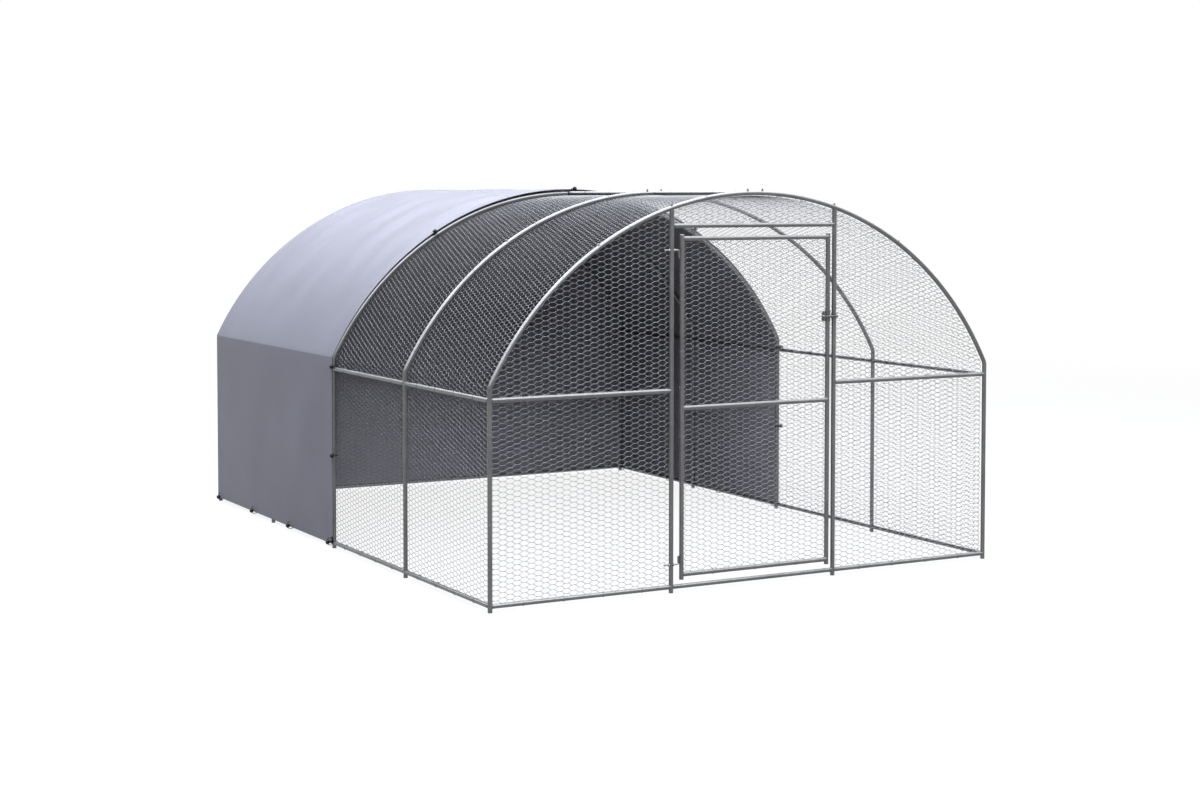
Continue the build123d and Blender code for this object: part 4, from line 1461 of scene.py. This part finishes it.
@dataclass
class Studio:
    """Plain pale floor, soft light and the camera at the photograph's angle."""

    camera_place: Triple = (-5.6329, -10.4722, 1.9839)
    yaw: float = 28.4934
    pitch: float = 2.7531
    lens: float = 59.8326
    sensor: float = 36.0
    shift: Pair = (0.02, -0.09)
    white: Triple = (1.0, 1.0, 1.0)
    ambient: Triple = (0.085, 0.080, 0.083)
    floor_half: float = 60.0
    floor_bounce: Triple = (0.145, 0.135, 0.138)
    floor_lit: Triple = (0.9, 0.9, 0.9)
    floor_glow: float = 0.88
    floor_reach: float = 14.0
    glow_full: float = 0.6
    key: SoftLamp = SoftLamp("key", (-1.5, -1.5, 9.0), (14.0, 32.0), 5350.0, (0.84, 0.885, 1.0))
    sky: SoftLamp = SoftLamp("sky", (0.0, 0.0, 11.0), (36.0, 36.0), 16000.0, (0.92, 0.93, 1.0), False)

    def build(self) -> None:
        """Make camera, world, floor and lamps."""
        self.build_camera()
        self.build_world()
        self.build_floor()
        self.key.build()
        self.sky.build()
        bpy.context.scene.view_settings.view_transform = "Standard"

    def build_camera(self) -> None:
        """Make the camera."""
        data = bpy.data.cameras.new("camera")
        data.lens = self.lens
        data.sensor_width = self.sensor
        data.shift_x, data.shift_y = self.shift
        camera = bpy.data.objects.new("camera", data)
        camera.location = self.camera_place
        camera.rotation_euler = (math.radians(90 - self.pitch), 0, math.radians(-self.yaw))
        bpy.context.scene.collection.objects.link(camera)
        bpy.context.scene.camera = camera

    @staticmethod
    def seen_directly(graph: NodeGraph) -> NodeSocket:
        """Socket that is 1 for camera, glossy and transmission rays.

        Args:
            graph: Node graph to add to.

        Returns:
            The socket.
        """
        path = graph.node("LightPath").outputs
        either = graph.maths("MAXIMUM", path["Is Camera Ray"], path["Is Glossy Ray"])
        return graph.maths("MAXIMUM", either, path["Is Transmission Ray"])

    def build_world(self) -> None:
        """Make an even world that shows white."""
        world = bpy.data.worlds.new("studio")
        bpy.context.scene.world = world
        world.use_nodes = True
        graph = NodeGraph(world.node_tree)
        soft = graph.fill(graph.tree.nodes["Background"], Color=(*self.ambient, 1.0))
        shown = graph.node("Background", Color=(*self.white, 1.0))
        seen = self.seen_directly(graph)
        surface = graph.mix(seen, soft.outputs["Background"], shown.outputs["Background"])
        graph.fill(graph.tree.nodes["World Output"], Surface=surface)

    def build_floor(self) -> None:
        """Make the floor, pale to the camera and with a faint shadow."""
        bm = bmesh.new()
        bmesh.ops.create_grid(bm, x_segments=1, y_segments=1, size=self.floor_half)
        mesh = bpy.data.meshes.new("floor")
        bm.to_mesh(mesh)
        bm.free()
        floor = bpy.data.objects.new("floor", mesh)
        bpy.context.scene.collection.objects.link(floor)
        material = bpy.data.materials.new("floor")
        material.use_nodes = True
        graph = NodeGraph(material.node_tree)
        graph.tree.nodes.remove(graph.tree.nodes["Principled BSDF"])
        bounce = graph.node("BsdfDiffuse", Color=(*self.floor_bounce, 1.0))
        lit = graph.node("BsdfDiffuse", Color=(*self.floor_lit, 1.0))
        glow = graph.node("Emission")
        coords = graph.node("TexCoord").outputs["Object"]
        scaled = graph.node("Mapping", Vector=coords, Scale=(1 / self.floor_reach,) * 3)
        near = graph.node("TexGradient", Vector=scaled.outputs["Vector"])
        near.gradient_type = "SPHERICAL"
        share = graph.span(near.outputs["Fac"], 1.0, self.floor_glow, self.glow_full)
        shown = graph.mix(share, lit.outputs["BSDF"], glow.outputs["Emission"])
        surface = graph.mix(self.seen_directly(graph), bounce.outputs["BSDF"], shown)
        graph.fill(graph.tree.nodes["Material Output"], Surface=surface)
        mesh.materials.append(material)


def main() -> None:
    """Build and dress the whole run."""
    logging.basicConfig(level=logging.INFO, format="%(message)s")
    finishes = Finishes().make()
    Studio().build()
    tubes = TubeFrame(finishes)
    tubes.dress_nodes()
    tubes.build()
    cover = TiedCover(finishes)
    cover.build()
    CoverTies(finishes, cover).build()
    WireNetting(finishes).build()
    NetTies(finishes).build()


if __name__ == "__main__":
    main()
